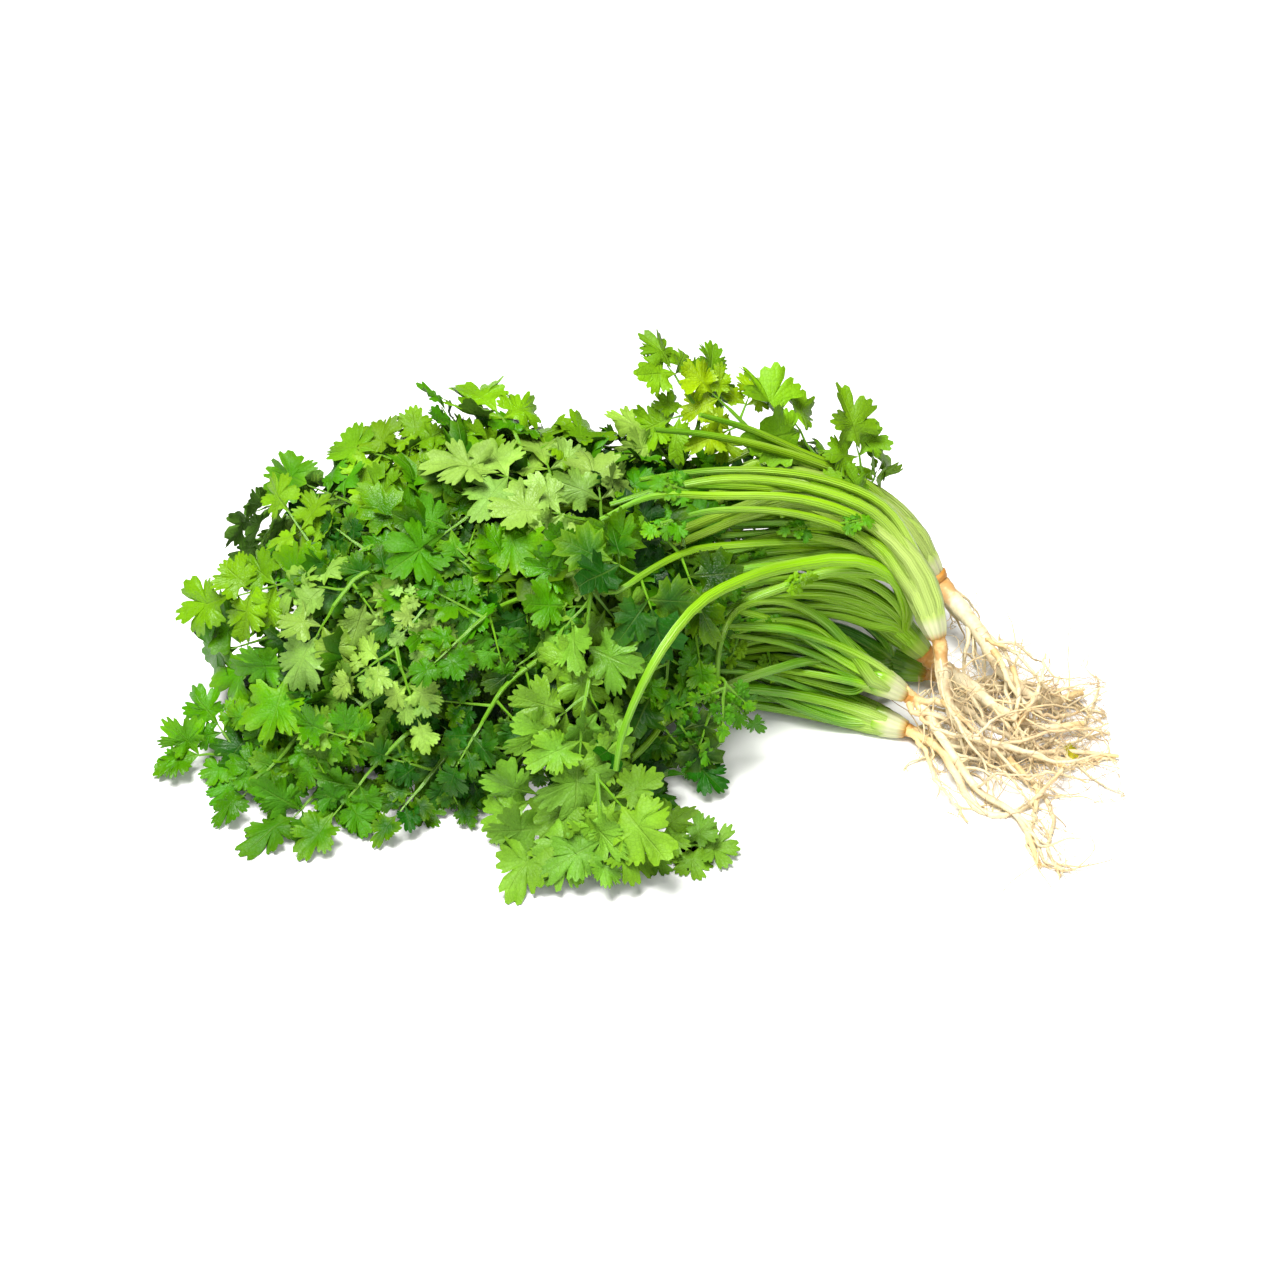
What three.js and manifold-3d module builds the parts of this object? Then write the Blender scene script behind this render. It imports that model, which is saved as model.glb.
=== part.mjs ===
// Six whole cilantro plants in one bunch, lying on a flat surface.
// The roots point to +X and the leaves to -X. Millimetres, +Z up, and Z = 0 is the surface.
// Every plant is a root, a crown and the leafy stems that spring from the crown.

import * as THREE from 'three';
import Module from 'manifold-3d';

const wasm = await Module();
wasm.setup();
const { Manifold } = wasm;

// Sizes of the leafy stems
const STALK_FOOT_RADIUS = 1.6;
const STALK_TOP_RADIUS = 0.95;
const STALK_SIDES = 5;
const STALK_STEPS = 6;
const BLADE_THICKNESS = 0.8;
const BLADE_STALK_WIDTH = 1.1;

// The course of a stalk. It leaves its crown with a rise, as a share of its span, and reaches its
// leaf from behind, as a share of its span or of the leaf's length and from a little below.
const STALK_RISE = 0.4;
const STALK_SPLAY = 0.9;
const STALK_REACH = 0.3;
const STALK_REACH_LENGTHS = 2.2;
const STALK_DIP = 6;
const STALK_OVERLAP = 0.03;

// The shape of a blade, as shares of its reach: how far its rim droops, how far its sides rise, and
// how far its lobes and cuts ripple. A rim point beyond the lobe share is on a lobe.
const BLADE_DROOP = 0.2;
const BLADE_CUP = 0.13;
const BLADE_RIPPLE = 0.05;
const LOBE_SHARE = 0.75;

// Where the three blades sit on a leaf, as shares of the leaf's length from foot to tip
const LEFT_BLADE = { at: 0.03, stalk: 0.27, reach: 0.44, turn: 66 };
const RIGHT_BLADE = { at: 0.11, stalk: 0.27, reach: 0.44, turn: -66 };
const END_BLADE = { at: 0.3, stalk: 0.25, reach: 0.5, turn: 0 };

// Sizes of the crowns and roots
const CROWN_LENGTH = 13;
const CROWN_SIDES = 10;
const CROWN_PROFILE = [[0, 3.5], [0.25, 4.3], [0.65, 5.7], [1, 6.2]];
const SLOT_RADIUS = 4.5;
const ROOT_SIDES = 7;
const ROOT_STEPS = 7;
const ROOT_NECK = 3;
const ROOT_SLIMNESS = 0.75;
const ROOT_TAPER = 1.3;
const SIDE_ROOT_SIDES = 3;
const SIDE_ROOT_STEPS = 4;
const SIDE_ROOTS = 3;
const SIDE_ROOT_RADIUS = 1.0;
const SIDE_ROOT_END_RADIUS = 0.6;
const SIDE_ROOT_LENGTHS = [16, 34];
const SIDE_ROOT_BEND = 8;

// Where the side roots leave a root, as the first one's share of its length and the span of them all
const SIDE_ROOT_START = 0.3;
const SIDE_ROOT_SPAN = 0.62;

// How far a side root swings off its root's course, and how far its end sinks to the surface
const SIDE_ROOT_SWING = 2.2;
const SIDE_ROOT_SINK = 0.5;
const SIDE_ROOT_TRIES = 30;

// Clear space between two pieces and the share of it that rounding may take, how far rounding may
// take a piece under the surface, and the least heights over it
const GAP = 0.35;
const GAP_ROUNDING = 0.001;
const SURFACE_ROUNDING = 1e-4;
const ROOT_FLOOR = 1.3;
const STALK_CLEARANCE = 0.1;

// Edges shorter than this are smoothed away where two solids of a piece join
const SMALLEST_EDGE = 0.05;

// Bends to try in turn for a stalk that would cross a neighbour: sideways sizes in each of eight
// ways, with a share of them along the bunch, at both ends of the stalk or at one
const BEND_SIZES = [4, 8, 12, 17, 23, 30];
const BEND_WAYS = 8;
const BEND_ALONG = 0.3;
const BEND_SHARES = [[1, 1], [1, 0], [0, 1], [1, -1]];
const REACH_FACTORS = [1, 0.5, 1.5];

// Rolls and pitches in degrees, and then smaller sizes, to try in turn for a blade that would
// cross a neighbour
const TILTS = [
  [0, 0], [0, 14], [0, -14], [16, 0], [-16, 0], [16, 16], [-16, 16], [0, 28], [0, -28],
  [32, 0], [-32, 0], [28, 26], [-28, 26], [28, -26], [-28, -26], [55, 0], [-55, 0], [0, 48],
  [80, 10], [-80, 10],
];
const SHRINKS = [1, 0.85, 0.7, 0.55];

// The rounded heap that the leaves lie on
const HEAP_CENTRE = new THREE.Vector3(-50, 28, 0);
const HEAP_RADII = new THREE.Vector3(122, 80, 92);
const FLOOR = 2;

// How much the near leaves turn their faces from the heap's surface to the reader
const FACE_TURN = 0.7;

// Brings the middle of the bunch's footprint to the origin
const BUNCH_SHIFT = new THREE.Vector3(0.7, -5.5, 0);

// A place on the heap is read as (across, up) on a board through the bunch's middle. The board
// leans back to face a reader in front, and the reader's line of sight carries the place to the heap.
const READER_HEIGHT = THREE.MathUtils.degToRad(38);
const READER_DISTANCE = 870;
const BOARD_MIDDLE = new THREE.Vector3(0, 0, 45);

// Each plant: its collar between root and crown, the way that its crown points, how stout it is,
// and the line of its root
const PLANTS = {
  back: {
    collar: [109, 48, 27.5], up: [-0.52, 0.3, 0.74], girth: 1.05, root: 5.6, rootEnd: 1.6,
    line: [[116, 38, 23], [124, 27, 18], [131, 12, 12], [146, 3, 5], [160, 9, 5]],
  },
  top: {
    collar: [104, -3, 40], up: [-0.3, 0.42, 0.82], girth: 1.0, root: 3.0, rootEnd: 1.2,
    line: [[106, -9, 30], [108, -15, 21], [114, -25, 14], [130, -29, 11], [148, -33, 6]],
  },
  middle: {
    collar: [102.5, 10, 21.5], up: [-0.68, 0.22, 0.62], girth: 0.95, root: 4.4, rootEnd: 1.4,
    line: [[110, 5, 18], [118, 0, 14], [129, -6, 9], [143, -12, 6], [158, -9, 5]],
  },
  front: {
    collar: [93.5, -8, 18], up: [-0.87, 0.18, 0.45], girth: 0.95, root: 3.2, rootEnd: 1.2,
    line: [[99, -10, 15], [106, -24, 11], [117, -43, 4], [129, -55, 3], [134, -78, 2]],
  },
  low: {
    collar: [94.5, -11, 4.4], up: [-0.9, 0.4, 0.07], girth: 0.98, root: 3.4, rootEnd: 1.2,
    line: [[106, -15, 3.5], [126, -24, 3], [150, -21, 2.5], [169, -23, 2]],
  },
  under: {
    collar: [104, 19, 5.6], up: [-0.93, 0.3, 0.12], girth: 0.95, root: 3.4, rootEnd: 1.2,
    line: [[114, 16, 5], [125, 13, 4], [138, 17, 3], [150, 13, 3]],
  },
};

// Each leaf that faces the reader: its plant, its foot (across, up), its tip (across, up),
// and how deep the foot and the tip lie under the heap's surface. Two more numbers, where they are
// given, say how far across and up from the foot its stalk comes from.
const NEAR_LEAVES = [
  ['back', 21, 72, 4, 100, 6, 0],
  ['back', 37, 68, 18, 87, 2, -4],
  ['back', 68, 46, 44, 87, 2, 0],
  ['back', 80, 40, 74, 75, 0, 0],
  ['top', 18, 48, -6, 73, 8, -3],
  ['top', 2, 58, -30, 66, 12, 2],
  ['top', -39, 54, -54, 90, 6, 0],
  ['back', -53, 53, -76, 73, 14, 4],
  ['back', -74, 53, -106, 62, 10, 2],
  ['top', -25, 44, -68, 54, 8, -4],
  ['top', -9, 32, -46, 43, 10, -2],
  ['back', -84, 36, -123, 46, 12, 2],
  ['under', -94, 30, -134, 32, 14, 4],
  ['middle', 21, 19, -17, 33, 6, -4],
  ['middle', -16, 4, -30, 32, 8, -3],
  ['top', -50, 42, -82, 24, 10, -2],
  ['middle', -38, 11, -72, 8, 14, 2],
  ['under', -103, 18, -150, 7, 12, 0],
  ['top', -100, 14, -124, -17, 4, -6],
  ['under', -117, -4, -160, -11, 10, 0],
  ['top', -86, -6, -79, -40, 2, -8],
  ['middle', -52, 3, -76, -17, 6, -4],
  ['middle', -50, -27, -66, -54, 4, -4],
  ['middle', -17, 12, -21, -30, 2, -10],
  ['front', -18, -22, -26, -63, -4, -20],
  ['front', -15, -54, -12, -100, -18, -30],
  ['low', -25, -50, -39, -96, -8, -22],
  ['front', 0, -77, 33, -80, -20, -24, -8, 22],
  ['front', 19, 4, 21, -27, 4, -4],
  ['low', -2, -24, 21, -56, 6, 0],
  ['front', 27, -22, 18, -60, 0, -6],
  ['low', -138, -44, -170, -54, 0, -6],
  ['low', -118, -38, -139, -66, 2, -4],
  ['middle', -94, -28, -117, -48, 4, -6],
  ['under', -108, -54, -128, -79, 4, -4],
  ['low', -84, -42, -113, -72, 4, -6],
  ['under', -70, -50, -88, -73, 6, -4],
  ['middle', -115, -23, -142, -36, 8, 0],
];

// Each leaf on the far side: its plant, then its foot and its tip as the angle round the heap
// from +X and the angle up from the surface
const FAR_LEAVES = [
  ['back', 62, 34, 74, 10],
  ['under', 88, 30, 98, 8],
  ['back', 112, 34, 124, 10],
  ['under', 140, 30, 148, 8],
];

const COLOURS = { leaf: 0x5fae2b, crown: 0xcfdc96, root: 0xecd9b0 };

// One blade of three leaflets: angle from its own line in degrees, and distance as a share of
// its reach. Lobes and the cuts between them take turns.
const BLADE_OUTLINE = [
  [-128, 0.2], [-92, 0.84], [-76, 0.68], [-60, 0.94], [-41, 0.32],
  [-26, 0.88], [-12, 0.76], [0, 1], [12, 0.76], [26, 0.88],
  [41, 0.32], [60, 0.94], [76, 0.68], [92, 0.84], [128, 0.2],
];

function vector([x, y, z]) {
  return new THREE.Vector3(x, y, z);
}

function seeded(seed) {
  let state = seed;
  return () => {
    state = (state + 0x6d2b79f5) >>> 0;
    let mixed = Math.imul(state ^ (state >>> 15), state | 1);
    mixed ^= mixed + Math.imul(mixed ^ (mixed >>> 7), mixed | 61);
    return ((mixed ^ (mixed >>> 14)) >>> 0) / 4294967296;
  };
}

// Places and directions on the heap

const towardReader = new THREE.Vector3(0, -Math.cos(READER_HEIGHT), Math.sin(READER_HEIGHT));
const boardUp = new THREE.Vector3(0, Math.sin(READER_HEIGHT), Math.cos(READER_HEIGHT));
const reader = BOARD_MIDDLE.clone().addScaledVector(towardReader, READER_DISTANCE);

function placeOnHeap(across, up, depth) {
  const onBoard = BOARD_MIDDLE.clone().setX(across).addScaledVector(boardUp, up);
  const sight = onBoard.sub(reader).normalize();
  const radii = HEAP_RADII.clone().subScalar(depth);
  const from = reader.clone().sub(HEAP_CENTRE).divide(radii);
  const along = sight.clone().divide(radii);
  const a = along.dot(along);
  const b = from.dot(along);
  const c = from.dot(from) - 1;
  const far = (-b - Math.sqrt(Math.max(b * b - a * c, 0))) / a;
  const place = reader.clone().addScaledVector(sight, far);
  if (place.z < FLOOR) {
    place.addScaledVector(sight, (FLOOR - place.z) / sight.z);
  }
  return place;
}

function placeRoundHeap(round, high) {
  const turn = THREE.MathUtils.degToRad(round);
  const rise = THREE.MathUtils.degToRad(high);
  const flat = Math.cos(rise);
  const way = new THREE.Vector3(flat * Math.cos(turn), flat * Math.sin(turn), Math.sin(rise));
  return way.multiply(HEAP_RADII).add(HEAP_CENTRE);
}

function outward(place) {
  return place.clone().sub(HEAP_CENTRE).divide(HEAP_RADII).divide(HEAP_RADII).normalize();
}

function leafFrom(plant, foot, tip, turned, from) {
  const heading = tip.clone().sub(foot);
  const length = heading.length();
  heading.normalize();
  const face = outward(foot.clone().lerp(tip, 0.5)).addScaledVector(towardReader, turned);
  face.addScaledVector(heading, -face.dot(heading)).normalize();
  const arrival = from ? foot.clone().sub(from).normalize() : heading;
  return { plant, foot, heading, face, length, arrival };
}

function allLeaves() {
  const near = NEAR_LEAVES.map(([plant, x0, y0, x1, y1, depth0, depth1, dx, dy]) => {
    const foot = placeOnHeap(x0, y0, depth0);
    const tip = placeOnHeap(x1, y1, depth1);
    const from = dx === undefined ? null : placeOnHeap(x0 + dx, y0 + dy, depth0);
    return leafFrom(plant, foot, tip, FACE_TURN, from);
  });
  const far = FAR_LEAVES.map(([plant, round0, high0, round1, high1]) =>
    leafFrom(plant, placeRoundHeap(round0, high0), placeRoundHeap(round1, high1), 0));
  return near.concat(far);
}

// Solids

function solidFrom(points, triangles) {
  const vertProperties = new Float32Array(points.flatMap((point) => point.toArray()));
  const triVerts = new Uint32Array(triangles.flat());
  return new Manifold(new wasm.Mesh({ numProp: 3, vertProperties, triVerts }));
}

function geometryFrom(solid) {
  const { vertProperties, triVerts } = solid.getMesh();
  const geometry = new THREE.BufferGeometry();
  geometry.setAttribute('position', new THREE.BufferAttribute(vertProperties, 3));
  geometry.setIndex(new THREE.BufferAttribute(triVerts, 1));
  return geometry;
}

// A round tapering body along a line of points, closed at both ends
function tube(line, radii, sides, firstWay) {
  const points = [];
  const triangles = [];
  let across = new THREE.Vector3();
  line.forEach((centre, step) => {
    const next = line[Math.min(step + 1, line.length - 1)];
    const last = line[Math.max(step - 1, 0)];
    const way = step === 0 && firstWay ? firstWay.clone() : next.clone().sub(last).normalize();
    if (step === 0) {
      const spare = Math.abs(way.z) < 0.9 ? new THREE.Vector3(0, 0, 1) : new THREE.Vector3(1, 0, 0);
      across = spare.cross(way).normalize();
    } else {
      across.addScaledVector(way, -across.dot(way)).normalize();
    }
    const third = way.clone().cross(across);
    for (let side = 0; side < sides; side += 1) {
      const turn = (2 * Math.PI * side) / sides;
      const point = centre.clone();
      point.addScaledVector(across, radii[step] * Math.cos(turn));
      point.addScaledVector(third, radii[step] * Math.sin(turn));
      points.push(point);
    }
  });
  const lastRing = (line.length - 1) * sides;
  for (let step = 0; step < line.length - 1; step += 1) {
    for (let side = 0; side < sides; side += 1) {
      const here = step * sides + side;
      const beside = step * sides + ((side + 1) % sides);
      triangles.push([here, beside, beside + sides], [here, beside + sides, here + sides]);
    }
  }
  for (let side = 1; side < sides - 1; side += 1) {
    triangles.push([0, side + 1, side], [lastRing, lastRing + side, lastRing + side + 1]);
  }
  return solidFrom(points, triangles);
}

// A thin blade cut into three leaflets, arched and rippled, with both faces split alike
function blade(root, heading, face, stalk, reach) {
  const side = face.clone().cross(heading);
  const middle = root.clone().addScaledVector(heading, stalk);
  const halfStalk = BLADE_STALK_WIDTH / 2;
  const stalkEnd = Math.hypot(stalk, halfStalk);
  const stalkTurn = 180 - THREE.MathUtils.radToDeg(Math.atan2(halfStalk, stalk));
  const outline = [
    [-stalkTurn, stalkEnd / reach],
    ...BLADE_OUTLINE,
    [stalkTurn, stalkEnd / reach],
  ];
  const rim = outline.map(([degrees, share]) => {
    const turn = THREE.MathUtils.degToRad(degrees);
    const ripple = share > LOBE_SHARE ? -BLADE_RIPPLE : BLADE_RIPPLE;
    const bulge = ripple - BLADE_DROOP * share * share + BLADE_CUP * share * Math.abs(Math.sin(turn));
    const drop = Math.abs(degrees) === stalkTurn ? 0 : bulge;
    return middle.clone()
      .addScaledVector(heading, reach * share * Math.cos(turn))
      .addScaledVector(side, reach * share * Math.sin(turn))
      .addScaledVector(face, reach * drop);
  });
  const lower = [middle, ...rim].map((point) => point.clone().addScaledVector(face, -BLADE_THICKNESS / 2));
  const upper = [middle, ...rim].map((point) => point.clone().addScaledVector(face, BLADE_THICKNESS / 2));
  lower.forEach((point, index) => {
    const lift = Math.max(0, -Math.min(point.z, upper[index].z));
    point.z += lift;
    upper[index].z += lift;
  });
  const count = rim.length;
  const above = count + 1;
  const triangles = [];
  for (let index = 0; index < count; index += 1) {
    const here = 1 + index;
    const beside = 1 + ((index + 1) % count);
    triangles.push([0, beside, here], [above, above + here, above + beside]);
    triangles.push([here, beside, above + beside], [here, above + beside, above + here]);
  }
  return solidFrom([...lower, ...upper], triangles);
}

// Keeping the pieces apart

const placed = [];

function boxesMeet(one, other) {
  return one.min.every((low, axis) => low - GAP < other.max[axis] && other.min[axis] - GAP < one.max[axis]);
}

// A solid that grows from the first solid of its own piece meets that one, and nothing else
function isClear(solid, own) {
  const box = solid.boundingBox();
  if (box.min[2] < -SURFACE_ROUNDING) {
    return false;
  }
  return placed.every((piece) => piece.solids.every((other, index) =>
    (piece === own && index === 0)
    || !boxesMeet(box, piece.boxes[index])
    || solid.minGap(other, GAP) >= GAP * (1 - GAP_ROUNDING)));
}

function grow(piece, solid) {
  if (solid) {
    piece.solids.push(solid);
    piece.boxes.push(solid.boundingBox());
  }
}

function keep(name, kind, solid) {
  const piece = { name, kind, solids: [], boxes: [] };
  grow(piece, solid);
  placed.push(piece);
  return piece;
}

function aboveSurface(solid) {
  return solid.boundingBox().min[2] < 0 ? solid.trimByPlane([0, 0, 1], 0) : solid;
}

// Crowns and roots

function crownUp(plant) {
  return vector(plant.up).normalize();
}

function crownSolid(plant) {
  const line = CROWN_PROFILE.map(([share]) =>
    vector(plant.collar).addScaledVector(crownUp(plant), share * CROWN_LENGTH));
  const radii = CROWN_PROFILE.map(([, radius]) => radius * plant.girth);
  return tube(line, radii, CROWN_SIDES);
}

function rootLine(plant) {
  const start = vector(plant.collar).addScaledVector(crownUp(plant), -GAP);
  const neck = start.clone().addScaledVector(crownUp(plant), -ROOT_NECK);
  return [start, neck, ...plant.line.map(vector)];
}

function rootRadius(plant, share) {
  const start = plant.root * ROOT_SLIMNESS;
  return plant.rootEnd + (start - plant.rootEnd) * (1 - share) ** ROOT_TAPER;
}

function sideRoot(node, curve, index, random) {
  const share = SIDE_ROOT_START + (SIDE_ROOT_SPAN * index) / SIDE_ROOTS;
  const from = curve.getPoint(share);
  const way = curve.getTangent(share);
  for (let attempt = 0; attempt < SIDE_ROOT_TRIES; attempt += 1) {
    const swing = new THREE.Vector3(random() - 0.3, random() - 0.5, random() - 0.7);
    const heading = way.clone().addScaledVector(swing, SIDE_ROOT_SWING).normalize();
    const length = THREE.MathUtils.lerp(...SIDE_ROOT_LENGTHS, random());
    const end = from.clone().addScaledVector(heading, length);
    end.z = Math.max(ROOT_FLOOR, end.z * SIDE_ROOT_SINK);
    const aside = new THREE.Vector3(random() - 0.5, random() - 0.5, 0.3);
    const bend = from.clone().lerp(end, 0.5).addScaledVector(aside, SIDE_ROOT_BEND);
    bend.z = Math.max(ROOT_FLOOR, bend.z);
    const line = new THREE.CatmullRomCurve3([from, bend, end]).getPoints(SIDE_ROOT_STEPS);
    const radii = line.map((point, step) =>
      THREE.MathUtils.lerp(SIDE_ROOT_RADIUS, SIDE_ROOT_END_RADIUS, step / SIDE_ROOT_STEPS));
    const solid = tube(line, radii, SIDE_ROOT_SIDES);
    if (isClear(solid, node)) {
      return solid;
    }
  }
  return null;
}

function rootSolid(plant) {
  const line = new THREE.CatmullRomCurve3(rootLine(plant)).getPoints(ROOT_STEPS);
  const radii = line.map((point, step) => rootRadius(plant, step / ROOT_STEPS));
  return aboveSurface(tube(line, radii, ROOT_SIDES, crownUp(plant).negate()));
}

// Leafy stems

// The stalks of one crown leave it from a ring of slots round a middle one, and each takes the
// slot nearest to the side that its leaf lies on.
function slotsFor(plant, leaves) {
  const up = crownUp(plant);
  const top = vector(plant.collar).addScaledVector(up, CROWN_LENGTH + GAP);
  const across = new THREE.Vector3(0, 0, 1).cross(up).normalize();
  const third = up.clone().cross(across);
  const ranked = leaves.map((leaf) => {
    const reach = leaf.foot.clone().sub(top).normalize();
    const x = reach.dot(across);
    const y = reach.dot(third);
    return { leaf, off: Math.hypot(x, y), turn: Math.atan2(y, x) };
  });
  ranked.sort((one, other) => one.off - other.off);
  ranked[0].leaf.slot = top.clone();
  const ring = ranked.slice(1).sort((one, other) => one.turn - other.turn);
  const step = (2 * Math.PI) / ring.length;
  const drift = ring.reduce((sum, item, index) => sum + (item.turn - index * step), 0) / ring.length;
  ring.forEach((item, index) => {
    const turn = index * step + drift;
    item.leaf.slot = top.clone()
      .addScaledVector(across, SLOT_RADIUS * plant.girth * Math.cos(turn))
      .addScaledVector(third, SLOT_RADIUS * plant.girth * Math.sin(turn));
    item.leaf.splay = item.leaf.slot.clone().sub(top).multiplyScalar(STALK_SPLAY);
  });
}

function stalkSolid(plant, leaf, bend, riseShare, reachShare, reachFactor) {
  const span = leaf.foot.distanceTo(leaf.slot);
  const reachSpan = Math.min(span, STALK_REACH_LENGTHS * leaf.length);
  const rise = leaf.slot.clone()
    .addScaledVector(crownUp(plant), STALK_RISE * span)
    .add(leaf.splay ?? new THREE.Vector3())
    .addScaledVector(bend, riseShare);
  const reach = leaf.foot.clone()
    .addScaledVector(leaf.arrival, -reachFactor * STALK_REACH * reachSpan)
    .addScaledVector(leaf.face, -STALK_DIP)
    .addScaledVector(bend, reachShare);
  const line = new THREE.CubicBezierCurve3(leaf.slot, rise, reach, leaf.foot).getPoints(STALK_STEPS);
  const past = (END_BLADE.at + STALK_OVERLAP) * leaf.length;
  line.push(leaf.foot.clone().addScaledVector(leaf.heading, past));
  const radii = line.map((point, step) =>
    THREE.MathUtils.lerp(STALK_FOOT_RADIUS, STALK_TOP_RADIUS, Math.min(1, step / STALK_STEPS)));
  line.forEach((point, step) => {
    point.z = Math.max(point.z, radii[step] + STALK_CLEARANCE);
  });
  return tube(line, radii, STALK_SIDES, crownUp(plant));
}

function bends() {
  const list = [new THREE.Vector3()];
  for (const size of BEND_SIZES) {
    for (let way = 0; way < BEND_WAYS; way += 1) {
      const angle = (2 * Math.PI * way) / BEND_WAYS;
      const along = BEND_ALONG * Math.sin(2 * angle);
      const bend = new THREE.Vector3(along, Math.cos(angle), Math.sin(angle));
      list.push(bend.multiplyScalar(size));
    }
  }
  return list;
}

function clearStalk(plant, leaf) {
  for (const reachFactor of REACH_FACTORS) {
    for (const bend of bends()) {
      for (const [riseShare, reachShare] of BEND_SHARES) {
        const solid = stalkSolid(plant, leaf, bend, riseShare, reachShare, reachFactor);
        if (isClear(solid)) {
          return solid;
        }
      }
    }
  }
  return null;
}

function clearBlade(leaf, spot) {
  const root = leaf.foot.clone().addScaledVector(leaf.heading, spot.at * leaf.length);
  const turned = leaf.heading.clone().applyAxisAngle(leaf.face, THREE.MathUtils.degToRad(spot.turn));
  for (const shrink of SHRINKS) {
    for (const [roll, pitch] of TILTS) {
      const face = leaf.face.clone().applyAxisAngle(turned, THREE.MathUtils.degToRad(roll));
      const side = face.clone().cross(turned);
      const heading = turned.clone().applyAxisAngle(side, THREE.MathUtils.degToRad(pitch));
      face.applyAxisAngle(side, THREE.MathUtils.degToRad(pitch));
      const reach = shrink * spot.reach * leaf.length;
      const solid = blade(root, heading, face, shrink * spot.stalk * leaf.length, reach);
      if (isClear(solid, leaf.node)) {
        return solid;
      }
    }
  }
  return null;
}

// The bunch

const leaves = allLeaves();

for (const [name, plant] of Object.entries(PLANTS)) {
  slotsFor(plant, leaves.filter((leaf) => leaf.plant === name));
  keep(`crown_${name}`, 'crown', aboveSurface(crownSolid(plant)));
}

for (const [name, plant] of Object.entries(PLANTS)) {
  keep(`root_${name}`, 'root', rootSolid(plant));
}

// The shortest stalks take their places first, and longer ones bend round them
const counts = {};
const nearestFirst = leaves.slice().sort((one, other) =>
  one.foot.distanceTo(one.slot) - other.foot.distanceTo(other.slot));
for (const leaf of nearestFirst) {
  counts[leaf.plant] = (counts[leaf.plant] ?? 0) + 1;
  const name = `leafy_stem_${leaf.plant}_${counts[leaf.plant]}`;
  leaf.node = keep(name, 'leaf', clearStalk(PLANTS[leaf.plant], leaf));
}

// Side roots and blades come after every root and stalk, and swing clear of all of them
Object.entries(PLANTS).forEach(([name, plant], order) => {
  const node = placed.find((piece) => piece.name === `root_${name}`);
  const random = seeded(11 + order);
  const line = new THREE.CatmullRomCurve3(rootLine(plant));
  for (let index = 0; index < SIDE_ROOTS; index += 1) {
    grow(node, sideRoot(node, line, index, random));
  }
});

for (const leaf of leaves) {
  grow(leaf.node, clearBlade(leaf, END_BLADE));
}
for (const leaf of leaves) {
  grow(leaf.node, clearBlade(leaf, LEFT_BLADE));
  grow(leaf.node, clearBlade(leaf, RIGHT_BLADE));
}

const bunch = new THREE.Group();
for (const piece of placed) {
  const colour = COLOURS[piece.kind];
  const material = new THREE.MeshStandardMaterial({ color: colour, roughness: 0.55, metalness: 0 });
  const solid = Manifold.union(piece.solids).simplify(SMALLEST_EDGE);
  const mesh = new THREE.Mesh(geometryFrom(solid), material);
  mesh.name = piece.name;
  mesh.position.copy(BUNCH_SHIFT);
  bunch.add(mesh);
}

export default bunch;
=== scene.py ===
import math
import random

import bpy
import numpy as np
from mathutils import Matrix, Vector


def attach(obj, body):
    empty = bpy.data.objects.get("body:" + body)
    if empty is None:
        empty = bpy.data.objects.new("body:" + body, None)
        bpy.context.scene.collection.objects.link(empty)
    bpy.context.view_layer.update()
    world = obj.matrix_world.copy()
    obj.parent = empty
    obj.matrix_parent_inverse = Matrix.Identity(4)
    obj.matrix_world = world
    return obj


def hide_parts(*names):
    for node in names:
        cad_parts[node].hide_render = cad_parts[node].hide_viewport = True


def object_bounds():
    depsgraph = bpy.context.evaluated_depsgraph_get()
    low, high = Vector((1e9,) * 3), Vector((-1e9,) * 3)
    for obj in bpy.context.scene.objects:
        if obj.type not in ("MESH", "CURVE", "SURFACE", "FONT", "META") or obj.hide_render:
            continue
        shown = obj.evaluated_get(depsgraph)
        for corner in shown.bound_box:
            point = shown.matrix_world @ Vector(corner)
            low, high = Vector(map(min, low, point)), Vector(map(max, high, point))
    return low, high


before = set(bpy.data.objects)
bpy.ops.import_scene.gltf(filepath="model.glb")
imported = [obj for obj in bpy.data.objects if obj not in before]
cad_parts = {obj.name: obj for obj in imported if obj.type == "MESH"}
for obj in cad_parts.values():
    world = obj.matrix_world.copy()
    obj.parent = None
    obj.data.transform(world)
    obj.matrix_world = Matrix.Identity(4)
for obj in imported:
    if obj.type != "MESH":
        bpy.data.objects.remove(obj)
cad_low, cad_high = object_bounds()

# Everything below is worked out in millimetres, in the plan of the CAD source before its shift
MM = 0.001
BUNCH_SHIFT = np.array([0.7, -5.5, 0.0])

# The plan of the bunch, the same as in the CAD source
HEAP_CENTRE = np.array([-50.0, 28.0, 0.0])
HEAP_RADII = np.array([122.0, 80.0, 92.0])
FLOOR = 2.0
READER_HEIGHT = math.radians(38)
READER_DISTANCE = 870.0
BOARD_MIDDLE = np.array([0.0, 0.0, 45.0])
FACE_TURN = 0.7
CROWN_LENGTH = 13.0
SLOT_RADIUS = 4.5
SLOT_GAP = 0.35
STALK_RISE = 0.4
STALK_REACH = 0.3
STALK_SPLAY = 0.9
END_BLADE = {"at": 0.3, "stalk": 0.25, "reach": 0.5, "turn": 0}
SIDE_BLADES = [
    {"at": 0.03, "stalk": 0.27, "reach": 0.44, "turn": 66},
    {"at": 0.11, "stalk": 0.27, "reach": 0.44, "turn": -66},
]

# The photograph's frame
PHOTO_SIZE = 1280
PHOTO_MIDDLE = (640, 620)
MM_PER_PIXEL = 0.35
LENS = 70
SENSOR = 36

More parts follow.
